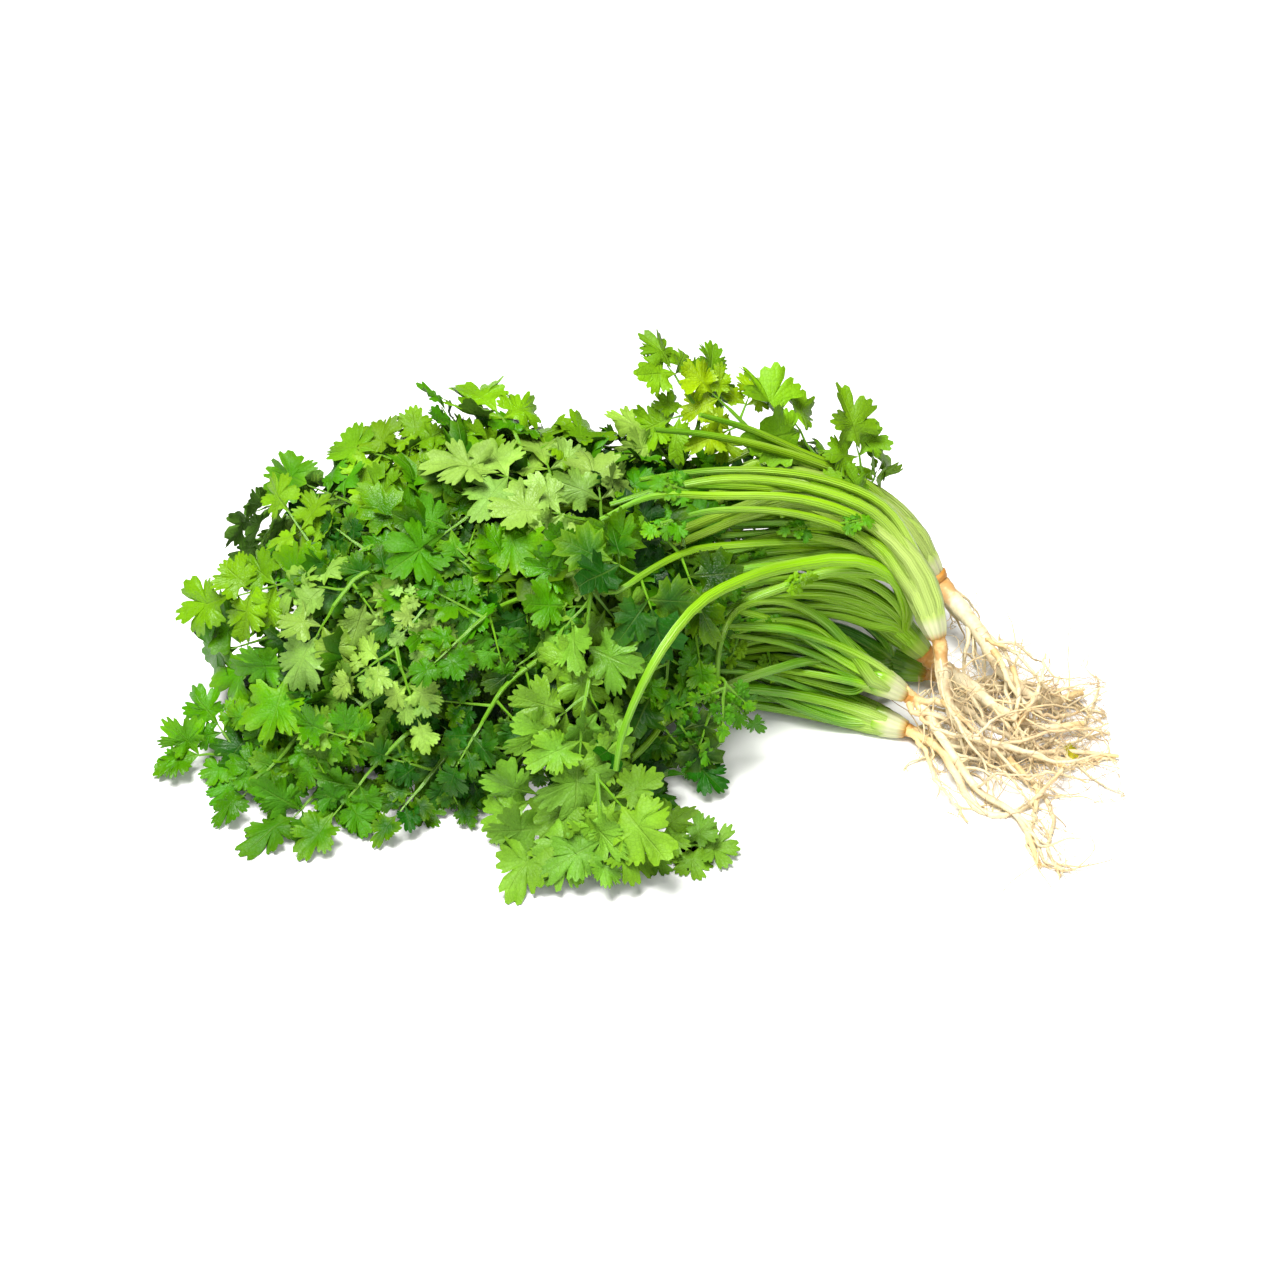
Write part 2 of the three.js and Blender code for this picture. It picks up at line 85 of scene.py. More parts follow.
# The six plants: collar, way up, girth, the root's two radii and line, then the tints of the crown's foot and
# middle, of the stalks' rise and near part and of their length, and how dark a stalk may be
PLANTS = {
    "back": {
        "collar": [109, 48, 27.5], "up": [-0.52, 0.3, 0.74], "girth": 1.05, "root": 6.0, "end": 2.4,
        "line": [[116, 38, 23], [124, 27, 18], [131, 12, 12], [146, 3, 5], [160, 9, 5]],
        "tints": ["crown_base", "crown", "crown", "stalk_pale", "stalk_fresh"], "dim": 0.84,
    },
    "top": {
        "collar": [104, -3, 40], "up": [-0.3, 0.42, 0.82], "girth": 1.0, "root": 3.8, "end": 1.6,
        "line": [[106, -9, 30], [108, -15, 21], [114, -25, 14], [130, -29, 11], [148, -33, 6]],
        "tints": ["crown_base", "crown", "crown", "stalk_pale", "stalk_fresh"], "dim": 0.88,
    },
    "middle": {
        "collar": [102.5, 10, 21.5], "up": [-0.68, 0.22, 0.62], "girth": 0.95, "root": 4.9, "end": 2.2,
        "line": [[110, 5, 18], [118, 0, 14], [129, -6, 9], [143, -12, 6], [158, -9, 5]],
        "tints": ["stalk_pale", "stalk_lime", "stalk_lime", "stalk_lime", "stalk_lime"], "dim": 0.78,
    },
    "front": {
        "collar": [93.5, -8, 18], "up": [-0.87, 0.18, 0.45], "girth": 0.95, "root": 3.6, "end": 1.5,
        "line": [[99, -10, 15], [106, -24, 11], [117, -43, 4], [129, -55, 3], [134, -78, 2]],
        "tints": ["crown_base", "crown", "stalk_lime", "stalk_green", "stalk_lime"], "dim": 0.72,
    },
    "low": {
        "collar": [94.5, -11, 4.4], "up": [-0.9, 0.4, 0.07], "girth": 0.98, "root": 3.4, "end": 1.2,
        "line": [[106, -15, 3.5], [126, -24, 3], [150, -21, 2.5], [169, -23, 2]],
        "tints": ["crown_base", "crown", "stalk_lime", "stalk_green", "stalk_green"], "dim": 0.62,
    },
    "under": {
        "collar": [104, 19, 5.6], "up": [-0.93, 0.3, 0.12], "girth": 0.95, "root": 3.4, "end": 1.2,
        "line": [[114, 16, 5], [125, 13, 4], [138, 17, 3], [150, 13, 3]],
        "tints": ["stalk_lime", "stalk_green", "stalk_green", "stalk_green", "stalk_dark"], "dim": 0.5,
    },
}

# The leaves that have a CAD node: plant, foot and tip (across, up), depth of each under the heap,
# and the leaf's green. The rows are those of the CAD source, in its order.
NEAR_LEAVES = [
    ("back", 21, 72, 4, 100, 6, 0, "light"),
    ("back", 37, 68, 18, 87, 2, -4, "yellow"),
    ("back", 68, 46, 44, 87, 2, 0, "light"),
    ("back", 80, 40, 74, 75, 0, 0, "light"),
    ("top", 18, 48, -6, 73, 8, -3, "pale"),
    ("top", 2, 58, -30, 66, 12, 2, "bright"),
    ("top", -39, 54, -54, 90, 6, 0, "light"),
    ("back", -53, 53, -76, 73, 14, 4, "mid"),
    ("back", -74, 53, -106, 62, 10, 2, "light"),
    ("top", -25, 44, -68, 54, 8, -4, "pale"),
    ("top", -9, 32, -46, 43, 10, -2, "under"),
    ("back", -84, 36, -123, 46, 12, 2, "mid"),
    ("under", -94, 30, -134, 32, 14, 4, "light"),
    ("middle", 21, 19, -17, 33, 6, -4, "mid"),
    ("middle", -16, 4, -30, 32, 8, -3, "bright"),
    ("top", -50, 42, -82, 24, 10, -2, "bright"),
    ("middle", -38, 11, -72, 8, 14, 2, "mid"),
    ("under", -103, 18, -150, 7, 12, 0, "light"),
    ("top", -100, 14, -124, -17, 4, -6, "pale"),
    ("under", -117, -4, -160, -11, 10, 0, "bright"),
    ("top", -86, -6, -79, -40, 2, -8, "pale"),
    ("middle", -52, 3, -76, -17, 6, -4, "mid"),
    ("middle", -50, -27, -66, -54, 4, -4, "deep"),
    ("middle", -17, 12, -21, -30, 2, -10, "front"),
    ("front", -18, -22, -26, -63, -4, -20, "front"),
    ("front", -15, -54, -12, -100, -18, -30, "front"),
    ("low", -25, -50, -39, -96, -8, -22, "front"),
    ("front", 0, -77, 33, -80, -20, -24, "front"),
    ("front", 19, 4, 21, -27, 4, -4, "mid"),
    ("low", -2, -24, 21, -56, 6, 0, "deep"),
    ("front", 27, -22, 18, -60, 0, -6, "mid"),
    ("low", -138, -44, -170, -54, 0, -6, "bright"),
    ("low", -118, -38, -139, -66, 2, -4, "mid"),
    ("middle", -94, -28, -117, -48, 4, -6, "front"),
    ("under", -108, -54, -128, -79, 4, -4, "mid"),
    ("low", -84, -42, -113, -72, 4, -6, "mid"),
    ("under", -70, -50, -88, -73, 6, -4, "deep"),
    ("middle", -115, -23, -142, -36, 8, 0, "mid"),
]

# Leaves whose blades reach further or less far than the others, or hang closer, by row: reach, turn
SPREADS = {
    23: (1.0, 0.75), 24: (1.05, 0.6), 25: (1.0, 0.6), 26: (1.0, 0.65), 27: (0.95, 0.8), 28: (0.7, 0.9),
    29: (0.85, 0.8), 30: (0.6, 0.8),
}

# Leaves that face the camera more than the others, by row
FACINGS = {0: 4.0, 1: 2.0, 6: 3.0}

# The one leaf whose stalk comes in from the side, as (across, up) from its foot
SIDE_ARRIVALS = {27: (-8, 22)}

# Far leaves with a CAD node: plant, then foot and tip as the angle round the heap and above the floor
FAR_LEAVES = [
    ("back", 62, 34, 74, 10, "mid"),
    ("under", 88, 30, 98, 8, "light"),
    ("back", 112, 34, 124, 10, "mid"),
    ("under", 140, 30, 148, 8, "bright"),
]

# Smaller leaves between the others, without a CAD node of their own
EXTRA_NEAR = [
    ("middle", -59, 21, -75, 35, 12, 8, "dark"),
    ("under", -94, 26, -115, 14, 10, 6, "deep"),
    ("under", -80, 16, -101, -7, 10, 6, "deep"),
    ("back", 47, 26, 21, 31, 14, 10, "light"),
    ("front", 23, 7, 0, -12, 10, 8, "deep"),
    ("top", 42, 45, 21, 54, 12, 8, "mid"),
    ("under", -59, -52, -72, -63, 8, 4, "deep"),
    ("low", -38, -44, -57, -65, 8, 4, "mid"),
    ("middle", -72, 8, -84, -6, 4, 0, "under"),
    ("middle", 12, 36, -8, 28, 10, 4, "bright"),
    ("top", 8, 52, -12, 44, 12, 8, "dark"),
    ("top", -62, 60, -78, 50, 8, 2, "light"),
    ("under", -120, 22, -136, 12, 12, 8, "bright"),
    ("middle", -30, -8, -52, -20, 12, 8, "dark"),
    ("low", -8, -36, -14, -58, 6, 4, "deep"),
    ("front", 10, -12, 8, -40, 6, 4, "bright"),
    ("middle", -80, -22, -96, -40, 8, 4, "deep"),
    ("low", 30, -22, 27, -38, -4, -6, "bright"),
    ("middle", -100, -8, -112, -28, 10, 6, "dark"),
    ("under", -126, -26, -142, -46, 8, 4, "deep"),
]

EXTRA_FAR = [
    ("back", 48, 40, 58, 20, "light"),
    ("under", 60, 22, 70, 4, "deep"),
    ("back", 76, 48, 88, 28, "mid"),
    ("back", 98, 44, 108, 24, "light"),
    ("under", 108, 22, 118, 4, "mid"),
    ("under", 128, 24, 138, 6, "light"),
    ("back", 100, 64, 124, 50, "light"),
    ("back", 70, 66, 92, 54, "mid"),
]

# Stalks that come in view by a way of their own, for leaves with a CAD node: the leaf's row, then
# places by pixel of the photograph and depth
VIEWED_ROUTES = {
    23: [(908, 596, 16), (892, 562, 17), (862, 546, 16), (800, 542, 12), (740, 545, 6), (690, 551, -2),
         (650, 570, -14), (615, 592, -24)],
    25: [(850, 662, 0), (800, 640, 2), (755, 640, 2), (712, 660, -6), (676, 700, -26), (650, 740, -40),
         (620, 768, -50)],
    30: [(850, 650, -2), (825, 622, 0), (790, 603, 0), (755, 602, -4), (733, 614, -10), (720, 645, -20)],
}

# Further stalks of the bundle, which end under the leaves, in runs of one plant: radius, then places by
# pixel and depth
BUNDLE = [
    ("middle", [
        (2.2, (905, 606, 8), (890, 575, 5), (850, 560, 1), (786, 567, -8), (740, 581, -20), (700, 603, -33),
              (665, 645, -48), (640, 690, -58), (622, 735, -66), (616, 770, -70)),
    ]),
    ("top", [
        (2.2, (905, 552, 8), (872, 512, 12), (805, 487, 14), (730, 479, 12), (665, 489, 8), (610, 505, 2)),
        (2.1, (897, 556, 8), (862, 521, 10), (800, 499, 10), (715, 496, 8), (650, 497, 4), (600, 520, -4)),
        (1.9, (890, 565, 5), (850, 532, 7), (790, 513, 8), (712, 511, 6), (660, 524, 0)),
        (2.0, (912, 548, 12), (882, 505, 18), (825, 480, 22), (760, 471, 22), (700, 472, 20), (640, 480, 12)),
        (2.0, (900, 575, 3), (880, 548, 6), (845, 530, 10), (790, 523, 14), (735, 524, 14)),
    ]),
    ("back", [
        (2.2, (897, 520, 54), (866, 486, 54), (820, 465, 52), (760, 446, 48), (700, 434, 42), (655, 430, 36)),
        (2.0, (890, 515, 56), (855, 478, 56), (800, 452, 54), (745, 428, 50), (700, 415, 44)),
        (1.9, (888, 530, 48), (850, 505, 44), (790, 492, 38), (720, 487, 32), (660, 486, 26)),
        (1.9, (884, 540, 44), (845, 524, 38), (790, 517, 32), (720, 520, 26), (660, 530, 20)),
        (1.7, (882, 548, 40), (840, 538, 34), (780, 533, 28), (710, 536, 22), (650, 545, 16)),
    ]),
    ("middle", [
        (2.0, (908, 602, 7), (893, 580, 6), (862, 572, 4), (826, 573, 2), (792, 584, 0), (745, 602, -4),
              (712, 622, -6), (690, 650, -10)),
        (2.0, (903, 612, 9), (882, 590, 9), (845, 574, 8), (800, 566, 6), (750, 568, 2), (700, 580, 0)),
        (1.9, (900, 618, 10), (884, 605, 10), (854, 590, 9), (813, 584, 8), (770, 590, 5), (735, 602, 2),
              (700, 618, -2)),
        (1.9, (896, 624, 10), (870, 616, 10), (839, 608, 9), (798, 606, 8), (750, 612, 5), (705, 626, 0)),
        (1.8, (894, 630, 9), (872, 626, 8), (842, 617, 7), (800, 613, 5), (745, 618, 3)),
        (1.9, (910, 592, 15), (896, 566, 16), (862, 552, 15), (800, 556, 12), (740, 566, 8), (680, 580, 4)),
        (1.9, (912, 586, 20), (900, 560, 20), (868, 540, 20), (806, 536, 18), (740, 550, 12), (660, 568, 6)),
        (1.8, (904, 600, 14), (884, 572, 15), (846, 558, 14), (792, 558, 12), (730, 572, 8), (680, 590, 2)),
        (1.8, (898, 610, 13), (876, 588, 14), (838, 578, 13), (790, 578, 10), (740, 588, 6), (700, 604, 2)),
    ]),
    ("back", [
        (2.3, (892, 562, 34), (852, 543, 30), (800, 540, 26), (720, 548, 22)),
        (2.3, (890, 574, 30), (852, 556, 26), (790, 552, 22), (720, 560, 18)),
        (2.3, (890, 550, 38), (842, 530, 32), (790, 524, 28), (730, 527, 24)),
        (2.3, (890, 568, 32), (846, 548, 28), (785, 546, 24), (715, 553, 20)),
        (2.2, (888, 556, 36), (845, 536, 30), (785, 532, 26), (715, 538, 22)),
    ]),
    ("under", [
        (2.3, (884, 640, 22), (850, 613, 24), (800, 598, 22), (740, 596, 20)),
        (2.3, (880, 650, 20), (845, 630, 20), (800, 620, 18), (740, 614, 16)),
        (2.3, (878, 658, 18), (838, 646, 16), (790, 637, 14), (740, 630, 12)),
        (2.2, (880, 666, 14), (842, 658, 12), (800, 651, 10), (745, 642, 8)),
        (2.2, (882, 674, 12), (845, 670, 10), (800, 663, 8), (745, 652, 6)),
        (2.2, (884, 684, 8), (848, 684, 6), (805, 676, 5), (750, 664, 4)),
    ]),
    ("front", [
        (1.8, (846, 652, -2), (810, 626, 0), (765, 622, 0), (722, 642, -4), (700, 664, -8)),
        (1.8, (844, 656, 0), (800, 636, 2), (748, 638, 4), (705, 655, 2)),
        (1.8, (842, 664, -1), (795, 648, 2), (740, 652, 4), (700, 668, 2)),
        (1.8, (842, 672, -4), (800, 660, -1), (750, 658, 4), (705, 676, 4)),
        (1.7, (845, 680, -7), (800, 672, -4), (750, 668, 0), (712, 680, 2)),
        (1.6, (846, 640, 2), (806, 616, 4), (760, 611, 4), (715, 625, 2)),
    ]),
    ("low", [
        (2.0, (842, 700, -2), (800, 684, 2), (760, 666, 6), (725, 660, 8), (690, 668, 8)),
        (2.0, (840, 708, -4), (800, 693, 0), (760, 676, 4), (722, 670, 8), (688, 680, 8)),
        (1.9, (840, 716, -6), (798, 702, -3), (758, 685, 2), (720, 676, 6), (684, 688, 6)),
        (1.8, (842, 722, -8), (800, 708, -6), (760, 691, -1), (722, 680, 4), (688, 690, 4)),
        (1.9, (852, 700, 3), (820, 687, 5), (780, 672, 7), (735, 661, 8)),
    ]),
    ("front", [
        (1.8, (852, 690, -5), (815, 682, -3), (770, 672, 0), (730, 669, 3)),
    ]),
    ("under", [
        (1.8, (864, 678, 9), (830, 681, 6), (790, 675, 4), (745, 665, 5)),
    ]),
    ("low", [
        (1.8, (844, 694, 0), (804, 676, 4), (762, 660, 8), (722, 652, 10)),
    ]),
    ("under", [
        (1.9, (846, 650, 20), (800, 634, 18), (740, 622, 16), (690, 624, 12)),
        (1.9, (846, 660, 18), (795, 645, 16), (735, 635, 14), (690, 640, 10)),
        (1.8, (848, 670, 14), (800, 658, 12), (745, 647, 10), (700, 655, 8)),
        (1.8, (850, 682, 10), (805, 671, 8), (755, 655, 8), (705, 662, 8)),
    ]),
]

# Where the yellow scrap of leaf lies on the front plant's longest strand, by pixel and depth, and its size
SCRAP = (1064, 755, -23)
SCRAP_SIZE = 6.5

# Young leaves among the stalks: pixel, size and the way that they point in the photograph. Each sits on the
# place of a stalk that is nearest to the camera, when a pixel's distance costs as much as these millimetres.
PIXEL_COST = 5
YOUNG = [
    (728, 604, 10, 200), (752, 594, 8, 160), (778, 588, 8, 20), (706, 612, 10, 230), (742, 632, 8, 250),
    (770, 642, 7, 280), (712, 640, 11, 250), (724, 655, 10, 280), (745, 560, 9, 200), (775, 556, 8, 180),
    (815, 520, 8, 190), (832, 522, 8, 10), (700, 575, 11, 210), (700, 530, 11, 150), (735, 520, 9, 170),
    (700, 560, 10, 200), (696, 668, 11, 250), (720, 580, 10, 190), (765, 610, 8, 200), (790, 622, 6, 190),
    (715, 668, 11, 200), (705, 490, 10, 160), (690, 505, 11, 200), (736, 570, 9, 240), (708, 595, 12, 190),
]

# Strands of the root tangle by plant: radius at the start, then places by pixel and depth
STRANDS = {
    "back": [
        (1.1, (1012, 666, 4), (1018, 693, -4), (1015, 728, -14), (1025, 750, -20)),
        (1.3, (993, 649, 12), (1003, 669, 6), (1012, 687, 0), (1028, 706, -6), (1050, 716, -8),
              (1080, 712, -6)),
        (0.8, (985, 640, 14), (1010, 650, 12), (1030, 668, 6), (1048, 690, 0), (1070, 700, -4)),
    ],
    "top": [
        (1.5, (936, 645, -3), (938, 670, -8), (943, 698, -14), (955, 722, -20), (978, 738, -24)),
        (0.9, (940, 700, -16), (966, 722, -22), (998, 752, -30), (1024, 778, -38), (1050, 772, -38),
              (1085, 782, -38)),
    ],
    "middle": [
        (1.0, (1015, 728, -14), (1039, 687, -4), (1044, 655, 8)),
        (1.8, (930, 660, 9), (950, 668, 6), (968, 680, 2), (984, 694, -2), (1000, 716, -8), (1022, 742, -18)),
    ],
    "front": [
        (1.5, (906, 690, -8), (918, 700, -10), (939, 702, -12), (965, 709, -12), (983, 725, -14),
              (1003, 733, -16), (1027, 746, -18), (1056, 758, -20), (1086, 761, -20), (1106, 755, -20)),
        (1.2, (908, 697, -8), (912, 711, -14), (939, 716, -16), (977, 743, -20), (1009, 743, -22),
              (1056, 731, -20), (1090, 728, -16)),
        (0.9, (915, 700, -10), (925, 722, -18), (948, 733, -24), (975, 735, -26), (990, 722, -22),
              (1012, 712, -14), (1045, 706, -10)),
    ],
    "low": [
        (1.7, (909, 732, -13), (939, 748, -24), (951, 769, -36), (965, 793, -42), (980, 811, -48),
              (1003, 815, -50), (1027, 805, -48), (1045, 787, -44), (1062, 769, -40)),
        (1.1, (1009, 758, -30), (1033, 784, -38), (1045, 799, -44), (1053, 822, -52), (1048, 849, -62),
              (1060, 876, -72)),
        (0.9, (1038, 790, -42), (1033, 819, -50), (1027, 846, -60), (1040, 868, -68)),
        (1.2, (910, 730, -13), (933, 744, -20), (968, 748, -26), (1004, 745, -26), (1040, 760, -26),
              (1075, 770, -28)),
        (0.9, (914, 736, -16), (928, 757, -26), (935, 780, -42), (952, 800, -48), (968, 822, -54)),
        (0.8, (916, 735, -15), (948, 752, -26), (985, 762, -34), (1012, 780, -40), (1028, 800, -46)),
    ],
    "under": [
        (0.9, (960, 690, 6), (990, 702, 2), (1020, 698, 0), (1050, 690, 2), (1085, 690, 2)),
    ],
}

# Greens, creams and browns of the bunch, as eight-bit screen colours
COLOURS = {
    "light": (138, 204, 20),
    "yellow": (172, 220, 14),
    # pale is partly the leaves' own paler green and partly a painted sheen of the light on the upper leaves
    "pale": (164, 216, 92),
    "under": (172, 222, 100),
    "mid": (80, 162, 2),
    "bright": (92, 180, 0),
    "front": (134, 198, 56),
    # deep and dark are the leaf greens darkened as painted shade, for leaves that lie deep in the heap and in
    # its gaps
    "deep": (34, 110, 0),
    "dark": (18, 76, 0),
    "leaf_tip": (156, 214, 14),
    "back_of_leaf": (150, 196, 88),
    "stalk_fresh": (168, 224, 24),
    "stalk_lime": (158, 220, 20),
    "stalk_green": (116, 190, 6),
    "stalk_dark": (64, 150, 0),
    "stalk_pale": (196, 234, 92),
    "stalk_leafy": (132, 204, 28),
    "crown": (212, 240, 124),
    "crown_base": (246, 248, 196),
    "collar": (226, 150, 40),
    "root": (255, 240, 198),
    "root_tan": (250, 214, 146),
    "root_orange": (226, 154, 60),
    "root_hair": (252, 226, 174),
    "hair_end": (150, 112, 92),
    "scrap": (240, 226, 40),
}

# The light is strong enough to bleach the floor, so every colour is a little darker than it looks
LIGHT_SHARE = 0.56


# Vectors

def unit(vector):
    return vector / np.linalg.norm(vector)


def turned(vector, axis, degrees):
    angle = math.radians(degrees)
    return (
        vector * math.cos(angle)
        + np.cross(axis, vector) * math.sin(angle)
        + axis * np.dot(axis, vector) * (1 - math.cos(angle))
    )


def squared(vector, axis):
    """The way of a vector's part that is square to an axis"""
    return unit(vector - axis * (vector @ axis))


def mixed(one, other, share):
    return one + (other - one) * share


def linear(name):
    """A named colour as the renderer counts it"""
    screen = np.array(COLOURS[name]) / 255
    return LIGHT_SHARE * np.where(screen <= 0.04045, screen / 12.92, ((screen + 0.055) / 1.055) ** 2.4)


# The plants' ways up and collars as vectors
for plant in PLANTS.values():
    plant["up"] = unit(np.array(plant["up"], float))
    plant["collar"] = np.array(plant["collar"], float)


# Places on the heap

toward_reader = np.array([0.0, -math.cos(READER_HEIGHT), math.sin(READER_HEIGHT)])
board_up = np.array([0.0, math.sin(READER_HEIGHT), math.cos(READER_HEIGHT)])
reader = BOARD_MIDDLE + toward_reader * READER_DISTANCE


def sight_through(across, up):
    return unit(BOARD_MIDDLE + np.array([across, 0, 0]) + board_up * up - reader)


def on_heap(across, up, depth):
    sight = sight_through(across, up)
    radii = HEAP_RADII - depth
    start = (reader - HEAP_CENTRE) / radii
    along = sight / radii
    a = along @ along
    b = start @ along
    c = start @ start - 1
    place = reader + sight * (-b - math.sqrt(max(b * b - a * c, 0))) / a
    if place[2] < FLOOR:
        place = place + sight * (FLOOR - place[2]) / sight[2]
    return place


def round_heap(angle, high):
    turn, rise = math.radians(angle), math.radians(high)
    way = np.array([math.cos(rise) * math.cos(turn), math.cos(rise) * math.sin(turn), math.sin(rise)])
    return way * HEAP_RADII + HEAP_CENTRE


def seen_at(pixel_x, pixel_y, y):
    """The place on the line of sight through a pixel of the photograph that lies at depth y"""
    across = (pixel_x - PHOTO_MIDDLE[0]) * MM_PER_PIXEL
    up = (PHOTO_MIDDLE[1] - pixel_y) * MM_PER_PIXEL
    sight = sight_through(across, up)
    place = reader + sight * (y - reader[1]) / sight[1]
    if place[2] < 1:
        place = place + sight * (1 - place[2]) / sight[2]
    return place


def seen(places):
    return [seen_at(*place) for place in places]


def pixel_of(place):
    """The pixel of the photograph where a place is seen"""
    away = place - reader
    depth = -(away @ toward_reader) * MM_PER_PIXEL
    return np.array([PHOTO_MIDDLE[0] + away[0] * READER_DISTANCE / depth,
                     PHOTO_MIDDLE[1] - (away @ board_up) * READER_DISTANCE / depth])


def outward(place):
    return unit((place - HEAP_CENTRE) / HEAP_RADII / HEAP_RADII)


def leaf_from(plant, foot, tip, face_turn, start, green):
    heading = tip - foot
    length = np.linalg.norm(heading)
    heading = heading / length
    face = squared(outward((foot + tip) / 2) + toward_reader * face_turn, heading)
    arrival = heading if start is None else unit(foot - start)
    return {
        "plant": plant, "foot": foot, "heading": heading, "face": face, "length": length,
        "arrival": arrival, "green": green, "splay": np.zeros(3),
    }


def near_leaf(row, start=None, face_turn=FACE_TURN):
    plant, x0, y0, x1, y1, depth0, depth1, green = row
    return leaf_from(plant, on_heap(x0, y0, depth0), on_heap(x1, y1, depth1), face_turn, start, green)


def far_leaf(row):
    plant, round0, high0, round1, high1, green = row
    return leaf_from(plant, round_heap(round0, high0), round_heap(round1, high1), 0, None, green)


def crown_axes(plant):
    """The way up of a crown, the middle of its top, and two ways across it"""
    up = plant["up"]
    top = plant["collar"] + up * (CROWN_LENGTH + SLOT_GAP)
    across = unit(np.cross([0, 0, 1], up))
    return up, top, across, np.cross(up, across)


def give_slots(plant, leaves):
    """Each stalk leaves its crown from the slot nearest to the side that its leaf lies on"""
    up, top, across, third = crown_axes(plant)
    ranked = []
    for leaf in leaves:
        reach = unit(leaf["foot"] - top)
        x, y = reach @ across, reach @ third
        ranked.append((math.hypot(x, y), math.atan2(y, x), leaf))
    ranked.sort(key=lambda item: item[0])
    ranked[0][2]["slot"] = top
    ring = sorted(ranked[1:], key=lambda item: item[1])
    step = 2 * math.pi / len(ring)
    drift = sum(item[1] - index * step for index, item in enumerate(ring)) / len(ring)
    plant["drift"] = drift
    plant["ring"] = len(ring)
    for index, (_, _, leaf) in enumerate(ring):
        angle = index * step + drift
        way = across * math.cos(angle) + third * math.sin(angle)
        leaf["slot"] = top + way * SLOT_RADIUS * plant["girth"]
        leaf["splay"] = (leaf["slot"] - top) * STALK_SPLAY


def bezier(start, rise, reach, end, steps):
    share = np.linspace(0, 1, steps + 1)[:, None]
    rest = 1 - share
    return rest ** 3 * start + 3 * rest ** 2 * share * rise + 3 * rest * share ** 2 * reach + share ** 3 * end


def through(points, steps):
    """A smooth line through points, evenly parted, by centripetal spans"""
    points = [np.array(point, float) for point in points]
    first = points[0] * 2 - points[1]
    last = points[-1] * 2 - points[-2]
    knots = [first, *points, last]
    line = []
    spans = len(points) - 1
    for index in range(steps + 1):
        place = index / steps * spans
        span = min(int(place), spans - 1)
        share = place - span
        p0, p1, p2, p3 = knots[span:span + 4]
        d0, d1, d2 = (max(np.linalg.norm(b - a), 1e-6) ** 0.5 for a, b in ((p0, p1), (p1, p2), (p2, p3)))
        slope1 = ((p1 - p0) / d0 - (p2 - p0) / (d0 + d1) + (p2 - p1) / d1) * d1
        slope2 = ((p2 - p1) / d1 - (p3 - p1) / (d1 + d2) + (p3 - p2) / d2) * d1
        s2, s3 = share * share, share ** 3
        line.append(
            p1 * (2 * s3 - 3 * s2 + 1) + slope1 * (s3 - 2 * s2 + share)
            + p2 * (3 * s2 - 2 * s3) + slope2 * (s3 - s2)
        )
    return np.array(line)


# Meshes

# A piece's materials by their place in its list, the sharpest bend that looks smooth, in degrees, the
# millimetres of a round body's length that its map counts as one, and the lowest height of its points
STALK, LEAF = 0, 1
SMOOTH_BEND = 60
MAP_UNIT = 10
LOWEST = 0.05

# How far inside the CAD box every point stays, in metres, and how far a leaflet, in millimetres
BOX_EDGE = 0.00005
BOX_ROOM = 0.15
box_low = np.array(cad_low) / MM - BUNCH_SHIFT + BOX_ROOM
box_high = np.array(cad_high) / MM - BUNCH_SHIFT - BOX_ROOM


def put_in_scene(name, data, place=(0, 0, 0), axes=None):
    """A new object, at a place and with axes where they are given"""
    thing = bpy.data.objects.new(name, data)
    bpy.context.scene.collection.objects.link(thing)
    if axes:
        turn = Matrix(np.column_stack(axes).tolist()).to_4x4()
        thing.matrix_world = Matrix.Translation(place) @ turn
    return thing


class Piece:
    """The triangles of one piece. Every corner has a colour, and a place on a flat map of its part."""

    def __init__(self):
        self.points, self.faces, self.colours, self.maps, self.kinds = [], [], [], [], []
        self.count = 0

    def add(self, points, faces, colours, maps, kind):
        self.points.append(points)
        self.faces.append(faces + self.count)
        self.colours.append(colours)
        self.maps.append(maps)
        self.kinds.append(np.full(len(faces), kind))
        self.count += len(points)

    def make(self, name, nodes=(), materials=None):
        """The Blender object, riding on the bunch and standing for its nodes"""
        points = (np.concatenate(self.points) + BUNCH_SHIFT) * MM
        points = np.clip(points, np.array(cad_low) + BOX_EDGE, np.array(cad_high) - BOX_EDGE)
        faces = np.concatenate(self.faces)
        mesh = bpy.data.meshes.new(name)
        mesh.vertices.add(len(points))
        mesh.vertices.foreach_set("co", points.ravel())
        mesh.loops.add(faces.size)
        mesh.loops.foreach_set("vertex_index", faces.ravel())
        mesh.polygons.add(len(faces))
        mesh.polygons.foreach_set("loop_start", np.arange(0, faces.size, 3))
        mesh.polygons.foreach_set("material_index", np.concatenate(self.kinds))
        mesh.update(calc_edges=True)
        colour = mesh.color_attributes.new("tint", "FLOAT_COLOR", "CORNER")
        colour.data.foreach_set("color", np.concatenate(self.colours).astype(np.float32).ravel())
        layer = mesh.uv_layers.new(name="plan")
        layer.data.foreach_set("uv", np.concatenate(self.maps).astype(np.float32).ravel())
        mesh.shade_smooth()
        mesh.set_sharp_from_angle(angle=math.radians(SMOOTH_BEND))
        mesh.validate()
        for material in materials or (stalk_material, leaf_material):
            mesh.materials.append(material)
        thing = put_in_scene(name, mesh)
        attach(thing, "root")
        if nodes:
            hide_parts(*nodes)


